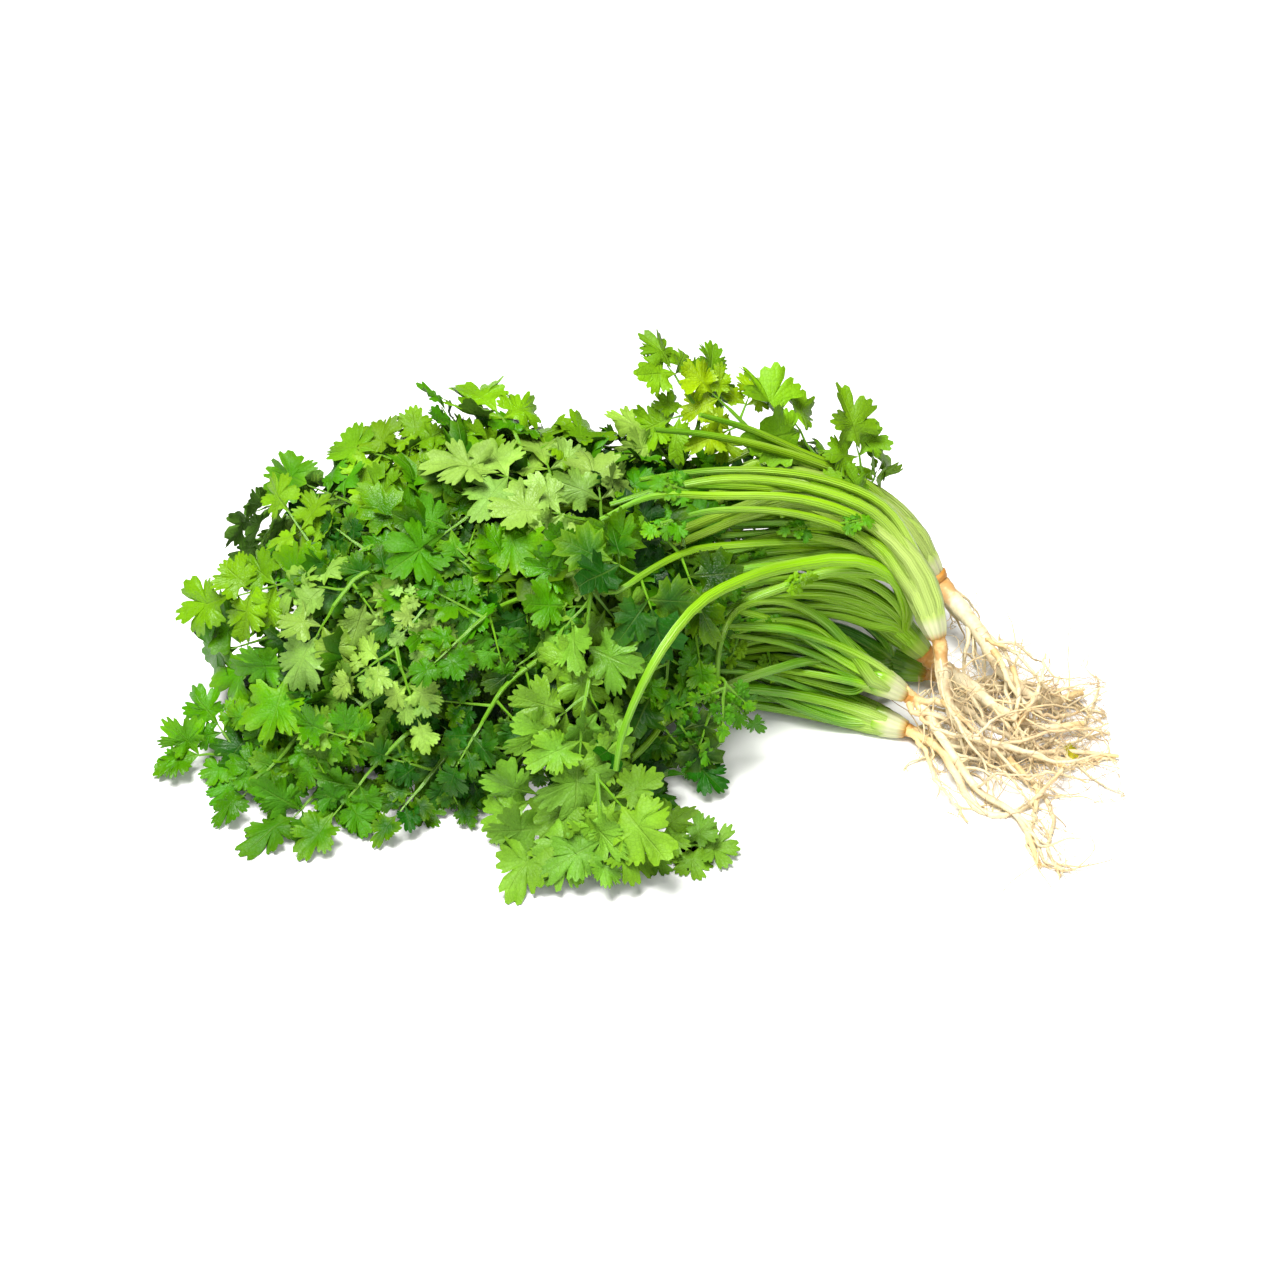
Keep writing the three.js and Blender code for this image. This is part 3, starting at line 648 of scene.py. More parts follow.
def sweep(piece, line, wide, sides, colours, deep=None, ribs=0, rib_depth=0.0, first_side=None):
    """A closed round or ribbed body along a line. Colours are four numbers for each point of it."""
    steps = len(line)
    line = np.asarray(line, float)
    deep = wide if deep is None else deep
    ways = np.gradient(line, axis=0)
    ways /= np.maximum(np.linalg.norm(ways, axis=1), 1e-9)[:, None]
    side = first_side
    if side is None:
        side = np.cross([0, 0, 1.0] if abs(ways[0][2]) < 0.9 else [1.0, 0, 0], ways[0])
    turns = np.linspace(0, 2 * math.pi, sides, endpoint=False)
    swell = 1 + rib_depth * np.cos(ribs * turns)
    points = np.zeros((steps * sides + 2, 3))
    for step in range(steps):
        side = squared(side, ways[step])
        third = np.cross(ways[step], side)
        ring = (
            np.outer(np.cos(turns) * swell * wide[step], side)
            + np.outer(np.sin(turns) * swell * deep[step], third)
        )
        points[step * sides:(step + 1) * sides] = line[step] + ring
    points[-2], points[-1] = line[0], line[-1]
    points[:, 2] = np.maximum(points[:, 2], LOWEST)
    lengths = np.concatenate([[0], np.cumsum(np.linalg.norm(np.diff(line, axis=0), axis=1))]) / MAP_UNIT
    step, index = np.meshgrid(np.arange(steps - 1), np.arange(sides), indexing="ij")
    step, index = step.ravel(), index.ravel()
    here, beside = step * sides + index, step * sides + (index + 1) % sides
    low, high = index / sides, (index + 1) / sides
    near, far = lengths[step], lengths[step + 1]
    corners = (here, beside, beside + sides, here + sides)
    spots = [np.stack(spot, 1) for spot in ((low, near), (high, near), (high, far), (low, far))]
    ring = np.arange(sides)
    after = (ring + 1) % sides
    last = (steps - 1) * sides
    halves = ((0, 1, 2), (0, 2, 3))
    faces = np.concatenate([
        *(np.stack([corners[corner] for corner in half], 1) for half in halves),
        np.stack([np.full(sides, steps * sides), after, ring], 1),
        np.stack([np.full(sides, steps * sides + 1), last + ring, last + after], 1),
    ])
    cap_maps = np.zeros((2 * sides, 3, 2))
    cap_maps[sides:, :, 1] = lengths[-1]
    maps = np.concatenate([*(np.stack([spots[corner] for corner in half], 1) for half in halves), cap_maps])
    owner = np.concatenate([np.repeat(np.arange(steps), sides), [0, steps - 1]])
    piece.add(points, faces, colours[owner][faces], maps, STALK)


# Leaflets

# The smaller sizes that are tried until a leaflet is inside the box
ROOM_TRIES = 12
ROOM_STEP = 0.88

# A leaflet's rings between its middle and its rim, where its middle is from base to tip, how thick it is, the
# reach from which a blade has fine leaflets, how much flatter it is laid near the floor, and the lowest
# heights of its upper and under sides
FINE_RINGS = np.array([0.45, 0.8, 1.0])
COARSE_RINGS = np.array([0.62, 1.0])
LEAFLET_MIDDLE = 0.42
LEAFLET_THICKNESS = 0.32
FINE_FROM = 8.5
FLATTER = (0, 0.5, 1, 2, 4, 8)
UPPER_LOW = 0.5
UNDER_LOW = 0.15

# Borders between the lobes of a leaflet, in degrees round its middle from the tip, how far they stray, half
# the gap at them, and the lobes' reach. At the base the rim narrows to a waist.
LOBE_BORDERS = [-138, -82, -28, 28, 82, 138]
BORDER_STRAY = 6
SLIT = 2.2
LOBE_REACH = [0.45, 0.54, 0.62, 0.54, 0.45]
REACH_RANGE = (0.84, 1.1)
WAIST_ANGLE = 158
WAIST_RANGE = (0.2, 0.27)
WAIST_OPENING = 1.15

# The rim of a tooth as shares of its width and height, the lowest part of it, and how high its tip stands
FINE_TOOTH = [(0, 0), (0.34, 0.92), (0.7, 0.96)]
COARSE_TOOTH = [(0, 0), (0.5, 1)]
TOOTH_FOOT = 0.88
TOOTH_TIP = (0.99, 1.08)

# How deep the cuts between lobes are, how wide a leaflet is, how much it bends down to its tip, bends across
# and folds along its rib, how bright and warm its green is, and what share of other greens its tip and its
# under side take
CUT_RANGE = (0.8, 1.1)
WIDTH_RANGE = (0.82, 1.1)
DROOP = (-0.06, 0.42)
CUP = (-0.5, 0.7)
FOLD = (0.02, 0.26)
BRIGHTNESS = (0.8, 1.18)
WARMTH = (-0.04, 0.09)
TIP_SHARES = (0, 0.1, 0.25, 0.5)
UNDER_SHARE = 0.6


def room_for(base, offsets, size):
    """The share of its size at which a leaflet stays in the bunch's box, the floor apart"""
    share = 1.0
    for _ in range(ROOM_TRIES):
        points = base + offsets * size * share
        low, high = points.min(axis=0), points.max(axis=0)
        if (low[:2] >= box_low[:2]).all() and (high <= box_high).all():
            break
        share *= ROOM_STEP
    return share


def leaflet_rim(rng, cut, fine):
    """The rim of a leaflet round its middle, as angles and radii: a wedge at the base and toothed lobes"""
    borders = [border + rng.uniform(-BORDER_STRAY, BORDER_STRAY) for border in LOBE_BORDERS[1:-1]]
    borders = [LOBE_BORDERS[0], *borders, LOBE_BORDERS[-1]]
    reaches = [reach * rng.uniform(*REACH_RANGE) for reach in LOBE_REACH]
    waist = rng.uniform(*WAIST_RANGE)
    angles, radii = [-180, -WAIST_ANGLE, borders[0]], [LEAFLET_MIDDLE, waist, waist * WAIST_OPENING]
    for lobe, reach in enumerate(reaches):
        low, high = borders[lobe] + SLIT, borders[lobe + 1] - SLIT
        centre, half = (low + high) / 2, (high - low) / 2
        count = rng.choice((3, 3, 4)) if fine else rng.choice((2, 3))
        edges = np.linspace(low, high, count + 1)

        def envelope(angle):
            share = (angle - centre) / half
            return reach * (1 - 0.12 * share ** 2 - 0.1 * share ** 6)

        for left, right in zip(edges, edges[1:]):
            lift = rng.uniform(*TOOTH_TIP)
            for share, up in FINE_TOOTH if fine else COARSE_TOOTH:
                angle = left + (right - left) * share
                angles.append(angle)
                radii.append(envelope(angle) * (TOOTH_FOOT + (lift - TOOTH_FOOT) * up))
        angles.append(high)
        radii.append(envelope(high) * TOOTH_FOOT)
        if lobe < len(reaches) - 1:
            angles.append(borders[lobe + 1])
            radii.append(cut * rng.uniform(*CUT_RANGE) * min(reach, reaches[lobe + 1]))
    angles += [borders[-1], WAIST_ANGLE]
    radii += [waist * WAIST_OPENING, waist]
    return np.radians(angles), np.array(radii)


def leaflet(piece, rng, base, heading, face, size, green, gloss, cut, fine=True):
    """A thin closed leaflet with lobed and toothed rim, drooping, folded along its rib and rippled"""
    angles, radii = leaflet_rim(rng, cut, fine)
    shares = FINE_RINGS if fine else COARSE_RINGS
    spokes, rings = len(angles), len(shares)
    share = np.concatenate([[0], np.repeat(shares, spokes)])
    angle = np.concatenate([[0], np.tile(angles, rings)])
    reach = share * np.concatenate([[0], np.tile(radii, rings)])
    x = LEAFLET_MIDDLE + reach * np.cos(angle)
    y = reach * np.sin(angle) * rng.uniform(*WIDTH_RANGE)
    phases = [rng.uniform(0, 6.28) for _ in range(5)]
    droop, cup, fold = (rng.uniform(*bend) for bend in (DROOP, CUP, FOLD))
    height = (
        fold * np.sqrt(y ** 2 + 0.004)
        - droop * x ** 2
        - cup * y ** 2
        + 0.05 * np.sin(6.5 * x + phases[0]) * np.cos(5.5 * y + phases[1])
        + 0.03 * np.sin(12 * y + phases[2] + 4 * x)
        + 0.06 * share ** 3 * np.sin(5 * angle + phases[3])
        + 0.3 * math.sin(phases[4]) * x * y
    )
    thick = LEAFLET_THICKNESS / size / 2 * (1 - share ** 3)
    # Near the floor a leaflet lies flatter, so that it doesn't reach below it
    for flatter in FLATTER:
        laid_face = unit(face + np.array([0, 0, flatter]))
        laid_heading = squared(heading, laid_face)
        axes = np.array([laid_heading, np.cross(laid_face, laid_heading), laid_face])
        upper = np.stack([x, y, height + thick], -1) @ axes
        if base[2] + upper[:, 2].min() * size > UPPER_LOW:
            break
    size *= room_for(base, upper, size)
    upper = base + upper * size
    inner = len(upper) - spokes
    lower = base + np.stack([x, y, height - thick], -1)[:inner] @ axes * size
    lifts = (UPPER_LOW, UNDER_LOW) if axes[2][2] > 0 else (UNDER_LOW, UPPER_LOW)
    for side, lift in zip((upper, lower), lifts):
        side[:, 2] = np.maximum(side[:, 2], lift)
    here = np.arange(spokes)
    beside = (here + 1) % spokes
    faces = [np.stack([np.zeros(spokes, int), 1 + here, 1 + beside], 1)]
    for ring in range(rings - 1):
        near, far = 1 + ring * spokes, 1 + (ring + 1) * spokes
        faces.append(np.stack([near + here, far + here, far + beside], 1))
        faces.append(np.stack([near + here, far + beside, near + beside], 1))
    faces = np.concatenate(faces)
    under = faces[:, ::-1]
    places = np.concatenate([faces, under])
    # The two sides share the points of the rim
    under = np.where(under < inner, under + len(upper), under)
    bright = rng.uniform(*BRIGHTNESS)
    warm = rng.uniform(*WARMTH)
    top_colour = linear(green) * bright * np.array([1 + warm * 2, 1 + warm * 0.5, 1 - warm])
    tip_colour = mixed(top_colour, linear("leaf_tip") * bright, rng.choice(TIP_SHARES))
    colours = np.zeros((len(places), 3, 4))
    colours[:, :, :3] = mixed(top_colour, tip_colour, share[places][:, :, None] ** 2)
    colours[len(faces):, :, :3] = mixed(top_colour, linear("back_of_leaf"), UNDER_SHARE)
    colours[:len(faces), :, 3] = gloss
    piece.add(np.concatenate([upper, lower]), np.concatenate([faces, under]), colours,
              np.stack([x, y], -1)[places], LEAF)


# Leafy stems

# A blade's leaflets as shares of its reach: the side ones, what they lose from pair to pair, the step between
# pairs, and the last one. Then the ranges that its leaflets are turned, sized and cut in.
PINNA = {
    "broad": {"pairs": 1, "side": 0.96, "loss": 0, "step": 0.16, "last": 1.14},
    "fine": {"pairs": 2, "side": 0.74, "loss": 0.08, "step": 0.34, "last": 0.84},
}
GLOSSES = (0.0, 0.2, 0.6)
SIDE_TURN, SIDE_ROLL, SIDE_LIFT = (48, 72), (-20, 30), (-0.5, 0.3)
SIDE_SIZE, SIDE_CUT = (0.86, 1.12), (0.52, 0.8)
LAST_PITCH, LAST_SIZE, LAST_CUT = (-16, 26), (0.9, 1.1), (0.48, 0.76)
SMALL_STALK = (0.62, 0.2)

# The next darker green of each, which gives leaves lower in the heap their painted shade
DARKER = {
    "light": "mid", "yellow": "light", "pale": "mid", "under": "mid", "mid": "deep",
    "bright": "deep", "front": "deep", "deep": "dark", "dark": "dark",
}

# How far under the heap's skin a stalk's leafward part is brought, from where to where across that sets in,
# and the share of the stalk at the leaf that is left free of it
TUCK_SHARE = 0.86
TUCK_FROM = 52.0
TUCK_TO = 26.0
TUCK_FREE = 0.2

# A stalk's approach to its leaf, in leaf lengths at most and in millimetres under it, and its start in the
# crown as depths in crown lengths with shares of the slot's offset
APPROACH_MOST = 2.2
APPROACH_UNDER = 6
SUNK = ((0.82, 0.42), (0.4, 0.82))

# A stalk's radius, the points of its route, its widths and depths as shares of the radius at shares of its
# length, the lowest height of its line, its sides and ribs, and how bright its tints may be
STALK_RADIUS = 1.75
ROUTE_STEPS = 26
STALK_SHARES = [0, 0.05, 0.12, 0.3, 0.8, 1]
STALK_WIDTHS = [0.95, 1.3, 1.2, 1.0, 0.65, 0.4]
STALK_DEPTHS = [0.85, 1.0, 0.92, 0.88, 0.62, 0.4]
STALK_LOW = 1.4
STALK_SIDES, STALK_RIBS, RIB_DEPTH = 12, 6, 0.07
BRIGHTEST = 1.06

# How far a leaf's blades turn, roll and pitch from their places
BLADE_TURN, BLADE_ROLL, BLADE_PITCH = (-7, 7), (-30, 30), (-18, 24)

# Lower pairs of blades: their distances from the leaf in leaf lengths, how far right and low they may sit, how
# they turn and roll, and their stalk and reach in leaf lengths
LOWER_PAIRS = (0.45, 0.95)
PAIR_RIGHT, PAIR_LOW = 22, 5
PAIR_TURN, PAIR_ROLL = (52, 84), (-50, 50)
PAIR_STALK, PAIR_REACH = 0.24, (0.36, 0.46)


def tinted(names, count, alpha=0.0):
    """Colours for the points of a line, passing through the named ones"""
    stops = np.array([linear(name) for name in names])
    places = np.linspace(0, len(names) - 1, count)
    rows = np.stack([np.interp(places, np.arange(len(names)), stops[:, channel]) for channel in range(3)], 1)
    return np.concatenate([rows, np.full((count, 1), alpha)], 1)


def pinna(piece, rng, root, heading, face, stalk, reach, green, style, fine=True):
    """One blade of a leaf on its own short stalk: three broad leaflets that touch, or five small ones"""
    shape = PINNA[style]
    base = root + heading * stalk * 0.8
    gloss = rng.choice(GLOSSES)
    fine = fine and reach > FINE_FROM
    spine = base
    line = [root, root + heading * stalk * 0.4 - face * 0.06 * stalk, base]
    for pair in range(shape["pairs"]):
        share = shape["side"] - shape["loss"] * pair
        for sign in (-1, 1):
            way = turned(heading, face, sign * rng.uniform(*SIDE_TURN))
            tilt = turned(face, way, sign * rng.uniform(*SIDE_ROLL))
            step_up = face * rng.uniform(*SIDE_LIFT)
            leaflet(piece, rng, spine + step_up, way, tilt, reach * share * rng.uniform(*SIDE_SIZE), green,
                    gloss, rng.uniform(*SIDE_CUT), fine)
        spine = spine + heading * reach * shape["step"] - face * reach * 0.02
        line.append(spine)
    side = np.cross(face, heading)
    pitch = rng.uniform(*LAST_PITCH)
    leaflet(piece, rng, spine + face * 0.4, turned(heading, side, pitch), turned(face, side, pitch),
            reach * shape["last"] * rng.uniform(*LAST_SIZE), green, gloss, rng.uniform(*LAST_CUT), fine)
    line.append(spine + heading * reach * 0.1)
    sweep(piece, line, np.linspace(*SMALL_STALK, len(line)), 5, tinted(["stalk_leafy"], len(line)))


def tucked(line):
    """The line with its leafward part brought under the heap's leaves, apart from its end"""
    share = np.linspace(0, 1, len(line))
    level = np.linalg.norm((line - HEAP_CENTRE) / HEAP_RADII, axis=1)
    inside = HEAP_CENTRE + (line - HEAP_CENTRE) * np.minimum(1, TUCK_SHARE / level)[:, None]
    weight = np.clip((TUCK_FROM - line[:, 0]) / (TUCK_FROM - TUCK_TO), 0, 1)
    weight = weight * np.clip((1 - share) / TUCK_FREE, 0, 1)
    weight = (weight * weight * (3 - 2 * weight))[:, None]
    return line + (inside - line) * weight


def stalk_route(plant, leaf):
    """The way of a stalk from its slot to its leaf's foot"""
    slot, foot = leaf["slot"], leaf["foot"]
    if "route" in leaf:
        return through([slot, *seen(leaf["route"]), foot], ROUTE_STEPS)
    up, *_ = crown_axes(plant)
    span = np.linalg.norm(foot - slot)
    rise = slot + up * STALK_RISE * span + leaf["splay"]
    approach = STALK_REACH * min(span, APPROACH_MOST * leaf["length"])
    reach = foot - leaf["arrival"] * approach - leaf["face"] * APPROACH_UNDER
    return tucked(bezier(slot, rise, reach, foot, ROUTE_STEPS))


def bare_stem(piece, rng, plant, slot, route, radius):
    """A stalk that starts between its crown's sheaths and follows its route"""
    up, top, *_ = crown_axes(plant)
    off = slot - top
    sunk = [top - up * CROWN_LENGTH * depth + off * share for depth, share in SUNK]
    line = np.concatenate([sunk, route])
    line[:, 2] = np.maximum(line[:, 2], STALK_LOW)
    share = np.linspace(0, 1, len(line))
    wide, deep = (np.interp(share, STALK_SHARES, sizes) * radius for sizes in (STALK_WIDTHS, STALK_DEPTHS))
    _, *start, green = plant["tints"]
    tints = tinted([*start, green, green, green, "stalk_leafy", "stalk_leafy"], len(line))
    tints[:, :3] *= rng.uniform(plant["dim"], BRIGHTEST)
    away = off if np.linalg.norm(off) > 0.1 else np.array([0, 0, 1.0])
    sweep(piece, line, wide, STALK_SIDES, tints, deep, STALK_RIBS, RIB_DEPTH, np.cross(away, up))


def leafy_stem(name, nodes, plant, leaf, seed, thin=1.0):
    """A stalk from inside its crown to its leaf, with the leaf's blades"""
    rng = random.Random(seed)
    piece = Piece()
    route = stalk_route(plant, leaf)
    length = leaf["length"]
    end_root = leaf["foot"] + leaf["heading"] * END_BLADE["at"] * length
    bare_stem(piece, rng, plant, leaf["slot"], np.concatenate([route, [end_root]]), STALK_RADIUS * thin)

    style = rng.choice(("broad", "broad", "fine"))
    if leaf["green"] == "front":
        style = "broad"
    wider, opener = leaf.get("spread", (1, 1))
    for blade in (END_BLADE, *SIDE_BLADES):
        root = leaf["foot"] + leaf["heading"] * blade["at"] * length
        way = turned(leaf["heading"], leaf["face"], blade["turn"] * opener + rng.uniform(*BLADE_TURN))
        face = turned(leaf["face"], way, rng.uniform(*BLADE_ROLL))
        tip_axis = np.cross(face, way)
        pitch = rng.uniform(*BLADE_PITCH)
        way, face = turned(way, tip_axis, pitch), turned(face, tip_axis, pitch)
        pinna(piece, rng, root, way, face, blade["stalk"] * length, blade["reach"] * length * wider,
              leaf["green"], style)

    # Lower pairs of blades sit on the stalk inside the heap, each pair darker than the one above it: painted
    # shade
    back = np.cumsum(np.linalg.norm(np.diff(route[::-1], axis=0), axis=1))
    green = leaf["green"]
    for distance in LOWER_PAIRS:
        green = DARKER[green]
        spot = int(np.searchsorted(back, distance * length))
        if spot >= len(route) - 3:
            break
        place = route[len(route) - 2 - spot]
        if place[0] > PAIR_RIGHT or place[2] < PAIR_LOW:
            break
        way = unit(route[len(route) - 1 - spot] - place)
        for sign in (-1, 1):
            face = squared(unit(outward(place) + toward_reader * 0.5), way)
            heading = turned(way, face, sign * rng.uniform(*PAIR_TURN))
            face = turned(face, heading, rng.uniform(*PAIR_ROLL))
            pinna(piece, rng, place, heading, face, PAIR_STALK * length, rng.uniform(*PAIR_REACH) * length,
                  green, "broad", fine=False)
    piece.make(name, nodes)


# Materials

# The range that a noise mostly keeps to
NOISE = (0.3, 0.7)

# A leaflet's rib at its base and tip as half its width, its side veins' slant, gap and straying, and the scale
# of the net between them
RIB_WIDTHS = (0.022, 0.005)
VEIN_SLANT = 0.72
VEIN_GAP = 0.17
VEIN_STRAY = 0.9
NET_SCALE = 750.0


class Nodes:
    """Short ways to write a node tree"""

    def __init__(self, name):
        self.material = bpy.data.materials.new(name)
        self.material.use_nodes = True
        self.tree = self.material.node_tree
        self.tree.nodes.clear()
        self.output = self.tree.nodes.new("ShaderNodeOutputMaterial")

    def read(self):
        """The tint and gloss of a corner, its place on the flat map and its place in the object"""
        self.tint = self.node("ShaderNodeAttribute", {"attribute_name": "tint"}).outputs
        plan = self.node("ShaderNodeUVMap", {"uv_map": "plan"}).outputs[0]
        self.plan = self.node("ShaderNodeSeparateXYZ", Vector=plan).outputs
        self.place = self.node("ShaderNodeTexCoord").outputs["Object"]

    def put(self, socket, value):
        if isinstance(value, bpy.types.NodeSocket):
            self.tree.links.new(value, socket)
        elif value is not None:
            socket.default_value = value

    def node(self, kind, settings=None, values=(), **inputs):
        """A node with its settings, the values of its first sockets and those of its named ones"""
        made = self.tree.nodes.new(kind)
        for key, value in (settings or {}).items():
            setattr(made, key, value)
        for socket, value in zip(made.inputs, values):
            self.put(socket, value)
        for key, value in inputs.items():
            self.put(made.inputs[key.replace("_", " ")], value)
        return made

    def math(self, operation, *values, clamp=False):
        return self.node("ShaderNodeMath", {"operation": operation, "use_clamp": clamp}, values).outputs[0]

    def times(self, one, other):
        return self.math("MULTIPLY", one, other)

    def less(self, one, other):
        return self.math("SUBTRACT", one, other)

    def ranged(self, value, low, high, new_low=0.0, new_high=1.0, kind="LINEAR"):
        return self.node("ShaderNodeMapRange", {"interpolation_type": kind}, Value=value, From_Min=low,
                         From_Max=high, To_Min=new_low, To_Max=new_high).outputs["Result"]

    def smooth(self, value, low, high):
        return self.ranged(value, low, high, kind="SMOOTHSTEP")

    def near(self, value, low, high):
        """One below low, and gone above high"""
        return self.math("SUBTRACT", 1.0, self.smooth(value, low, high), clamp=True)

    def mix(self, factor, one, other, blend="MIX"):
        made = self.node("ShaderNodeMix", {"data_type": "RGBA", "blend_type": blend}, Factor=factor)
        colours = [socket for socket in made.inputs if socket.type == "RGBA"]
        for socket, value in zip(colours, (one, other)):
            self.put(socket, value)
        return next(socket for socket in made.outputs if socket.type == "RGBA")

    def noise(self, vector, scale, detail=3.0, roughness=0.55):
        return self.node("ShaderNodeTexNoise", Vector=vector, Scale=scale, Detail=detail,
                         Roughness=roughness).outputs["Fac"]

    def round_angle(self):
        return self.times(self.plan["X"], 2 * math.pi)

    def wrapped(self, around, along):
        """A round body's map rolled up, so that a pattern has no seam on it"""
        angle = self.round_angle()
        return self.node("ShaderNodeCombineXYZ", values=(
            self.times(self.math("COSINE", angle), around),
            self.times(self.math("SINE", angle), around),
            self.times(self.plan["Y"], along),
        )).outputs[0]

    def shaded(self, shade, more):
        """The corner's tint, lighter and darker by the product of two shades"""
        return self.node("ShaderNodeVectorMath", {"operation": "SCALE"}, (self.tint["Color"],),
                         Scale=self.times(shade, more)).outputs[0]

    def bump(self, hills, strength, height):
        return self.node("ShaderNodeBump", Height=hills, Strength=strength, Distance=height).outputs[0]

    def finish(self, colour, roughness, specular, bump=None, inner=None, inner_share=0.0):
        """The finished material, where inner is the shader for the light that comes through"""
        shader = self.node("ShaderNodeBsdfPrincipled", Base_Color=colour, Roughness=roughness,
                           Specular_IOR_Level=specular, Normal=bump)
        if inner:
            parts = (inner_share, shader.outputs[0], inner.outputs[0])
            shader = self.node("ShaderNodeMixShader", values=parts)
        self.put(self.output.inputs["Surface"], shader.outputs[0])
        return self.material


def paint(name, share=1.0):
    return (*linear(name) * share, 1.0)


def make_leaf_material():
    kit = Nodes("cilantro_leaf")
    kit.read()
    along, off = kit.plan["X"], kit.math("ABSOLUTE", kit.plan["Y"])
    broad, fine = kit.noise(kit.place, 55.0), kit.noise(kit.place, 420.0, detail=4.0)

    # The rib, broad at the base and gone near the tip
    half_width = kit.ranged(along, 0.0, 1.0, *RIB_WIDTHS)
    rib = kit.near(off, kit.times(half_width, 0.4), kit.times(half_width, 1.6))
    # Side veins leave it slantwise
    stray = kit.times(kit.less(kit.noise(kit.place, 260.0, detail=2.0), 0.5), VEIN_STRAY)
    slanted = kit.less(along, kit.times(off, VEIN_SLANT))
    rows = kit.math("ADD", kit.math("DIVIDE", slanted, VEIN_GAP), stray)
    ridge = kit.math("ABSOLUTE", kit.less(kit.math("FRACT", rows), 0.5))
    side = kit.times(kit.near(ridge, 0.03, 0.13), kit.ranged(off, 0.0, 0.5, 0.8, 0.2))
    veins = kit.math("MAXIMUM", rib, kit.times(side, 0.5))
    # The fine net between them
    edges = {"feature": "DISTANCE_TO_EDGE"}
    cells = kit.node("ShaderNodeTexVoronoi", edges, Vector=kit.place, Scale=NET_SCALE)
    net = kit.near(cells.outputs["Distance"], 0.0, 0.16)

    coloured = kit.shaded(kit.ranged(broad, *NOISE, 0.8, 1.18), kit.ranged(fine, 0.25, 0.75, 0.93, 1.07))
    pale = kit.mix(0.3, coloured, paint("stalk_pale", 0.8))
    body = kit.mix(kit.times(veins, 0.4), coloured, pale)
    body = kit.mix(kit.times(net, 0.12), body, paint("dark"))
    hills = kit.less(kit.less(kit.times(fine, 0.8), kit.times(veins, 0.7)), kit.times(net, 0.16))
    bump = kit.bump(hills, strength=0.55, height=0.0006)
    rough = kit.less(kit.ranged(fine, *NOISE, 0.42, 0.56), kit.times(kit.tint["Alpha"], 0.3))
    glow = kit.mix(1.0, body, (1.0, 1.0, 0.35, 1.0), "MULTIPLY")
    inner = kit.node("ShaderNodeBsdfTranslucent", Color=glow, Normal=bump)
    return kit.finish(body, rough, 0.2, bump, inner, inner_share=0.2)


def make_stalk_material():
    kit = Nodes("cilantro_stalk")
    kit.read()
    ribs = kit.math("COSINE", kit.times(kit.round_angle(), 14.0))
    # Streaks that run lengthwise
    streaks = kit.noise(kit.wrapped(around=2.2, along=0.22), 1.6, detail=4.0, roughness=0.6)
    broad = kit.noise(kit.place, 40.0, detail=2.0)
    coloured = kit.shaded(kit.ranged(streaks, *NOISE, 0.95, 1.3), kit.ranged(broad, *NOISE, 0.9, 1.1))
    # The palest streaks are partly the stalk's own pale lines and partly a painted highlight
    body = kit.mix(kit.times(kit.smooth(streaks, 0.5, 0.68), 0.42), coloured, paint("crown"))
    # The grooves between the ribs are darkened towards a dim green: painted shade
    body = kit.mix(kit.ranged(ribs, -1.0, 1.0, 0.14, 0.0), body, paint("mid", 0.7))
    hills = kit.math("ADD", kit.times(ribs, 0.5), kit.times(streaks, 0.6))
    bump = kit.bump(hills, strength=0.5, height=0.0004)
    inner = kit.node("ShaderNodeBsdfTranslucent", Color=body)
    return kit.finish(body, kit.ranged(streaks, *NOISE, 0.24, 0.4), 0.42, bump, inner, inner_share=0.12)


def make_root_material():
    kit = Nodes("cilantro_root")
    kit.read()
    wrinkles = kit.noise(kit.wrapped(around=0.35, along=3.2), 2.2, detail=4.0, roughness=0.6)
    patches = kit.noise(kit.place, 120.0, roughness=0.6)
    fine = kit.noise(kit.place, 600.0)
    coloured = kit.shaded(kit.ranged(wrinkles, *NOISE, 1.12, 1.45), kit.ranged(fine, *NOISE, 0.92, 1.08))
    soil = kit.times(kit.smooth(patches, 0.42, 0.62), kit.tint["Alpha"])
    body = kit.mix(soil, coloured, paint("root_orange"))
    creases = kit.times(kit.smooth(wrinkles, 0.62, 0.74), 0.28)
    body = kit.mix(creases, body, paint("root_orange", 0.6))
    hills = kit.math("ADD", kit.times(wrinkles, 0.9), kit.times(fine, 0.3))
    bump = kit.bump(hills, strength=0.6, height=0.0006)
    return kit.finish(body, kit.ranged(fine, *NOISE, 0.52, 0.68), 0.35, bump)


leaf_material = make_leaf_material()
stalk_material = make_stalk_material()
root_material = make_root_material()


# Crowns

# The crown's radius at shares of its length from the collar, its rings, and the fewest sheaths that show
CROWN_PROFILE = [
    (-0.06, 2.6), (0.0, 3.4), (0.12, 3.9), (0.3, 4.6), (0.6, 5.3), (0.85, 5.2), (1.0, 4.3), (1.12, 2.2),
]
CROWN_RINGS = 22
FEWEST_SHEATHS = 5


def crown(name, plant):
    """The clasping sheaths of a plant, one rib for each of its outer stalks"""
    piece = Piece()
    up, _, across, _ = crown_axes(plant)
    profile_shares, profile_radii = zip(*CROWN_PROFILE)
    shares = np.linspace(profile_shares[0], profile_shares[-1], CROWN_RINGS)
    radii = np.interp(shares, profile_shares, profile_radii) * plant["girth"]
    line = [plant["collar"] + up * CROWN_LENGTH * share for share in shares]
    foot, middle, rise, near, _ = plant["tints"]
    tints = tinted(["collar", foot, foot, middle, rise, near], len(line))
    ribs = max(plant["ring"], FEWEST_SHEATHS)
    spin = turned(across, up, math.degrees(plant["drift"]))
    sweep(piece, line, radii, ribs * 6, tints, ribs=ribs, rib_depth=0.06, first_side=spin)
    piece.make(f"sheaths_{name}", [f"crown_{name}"], [stalk_material])


# Roots

# The points of a taproot, where it starts on its crown's axis, from the collar up, and its count of side roots
ROOT_STEPS = 44
ROOT_START = (1.5, -3.35)
SIDE_ROOTS = 15

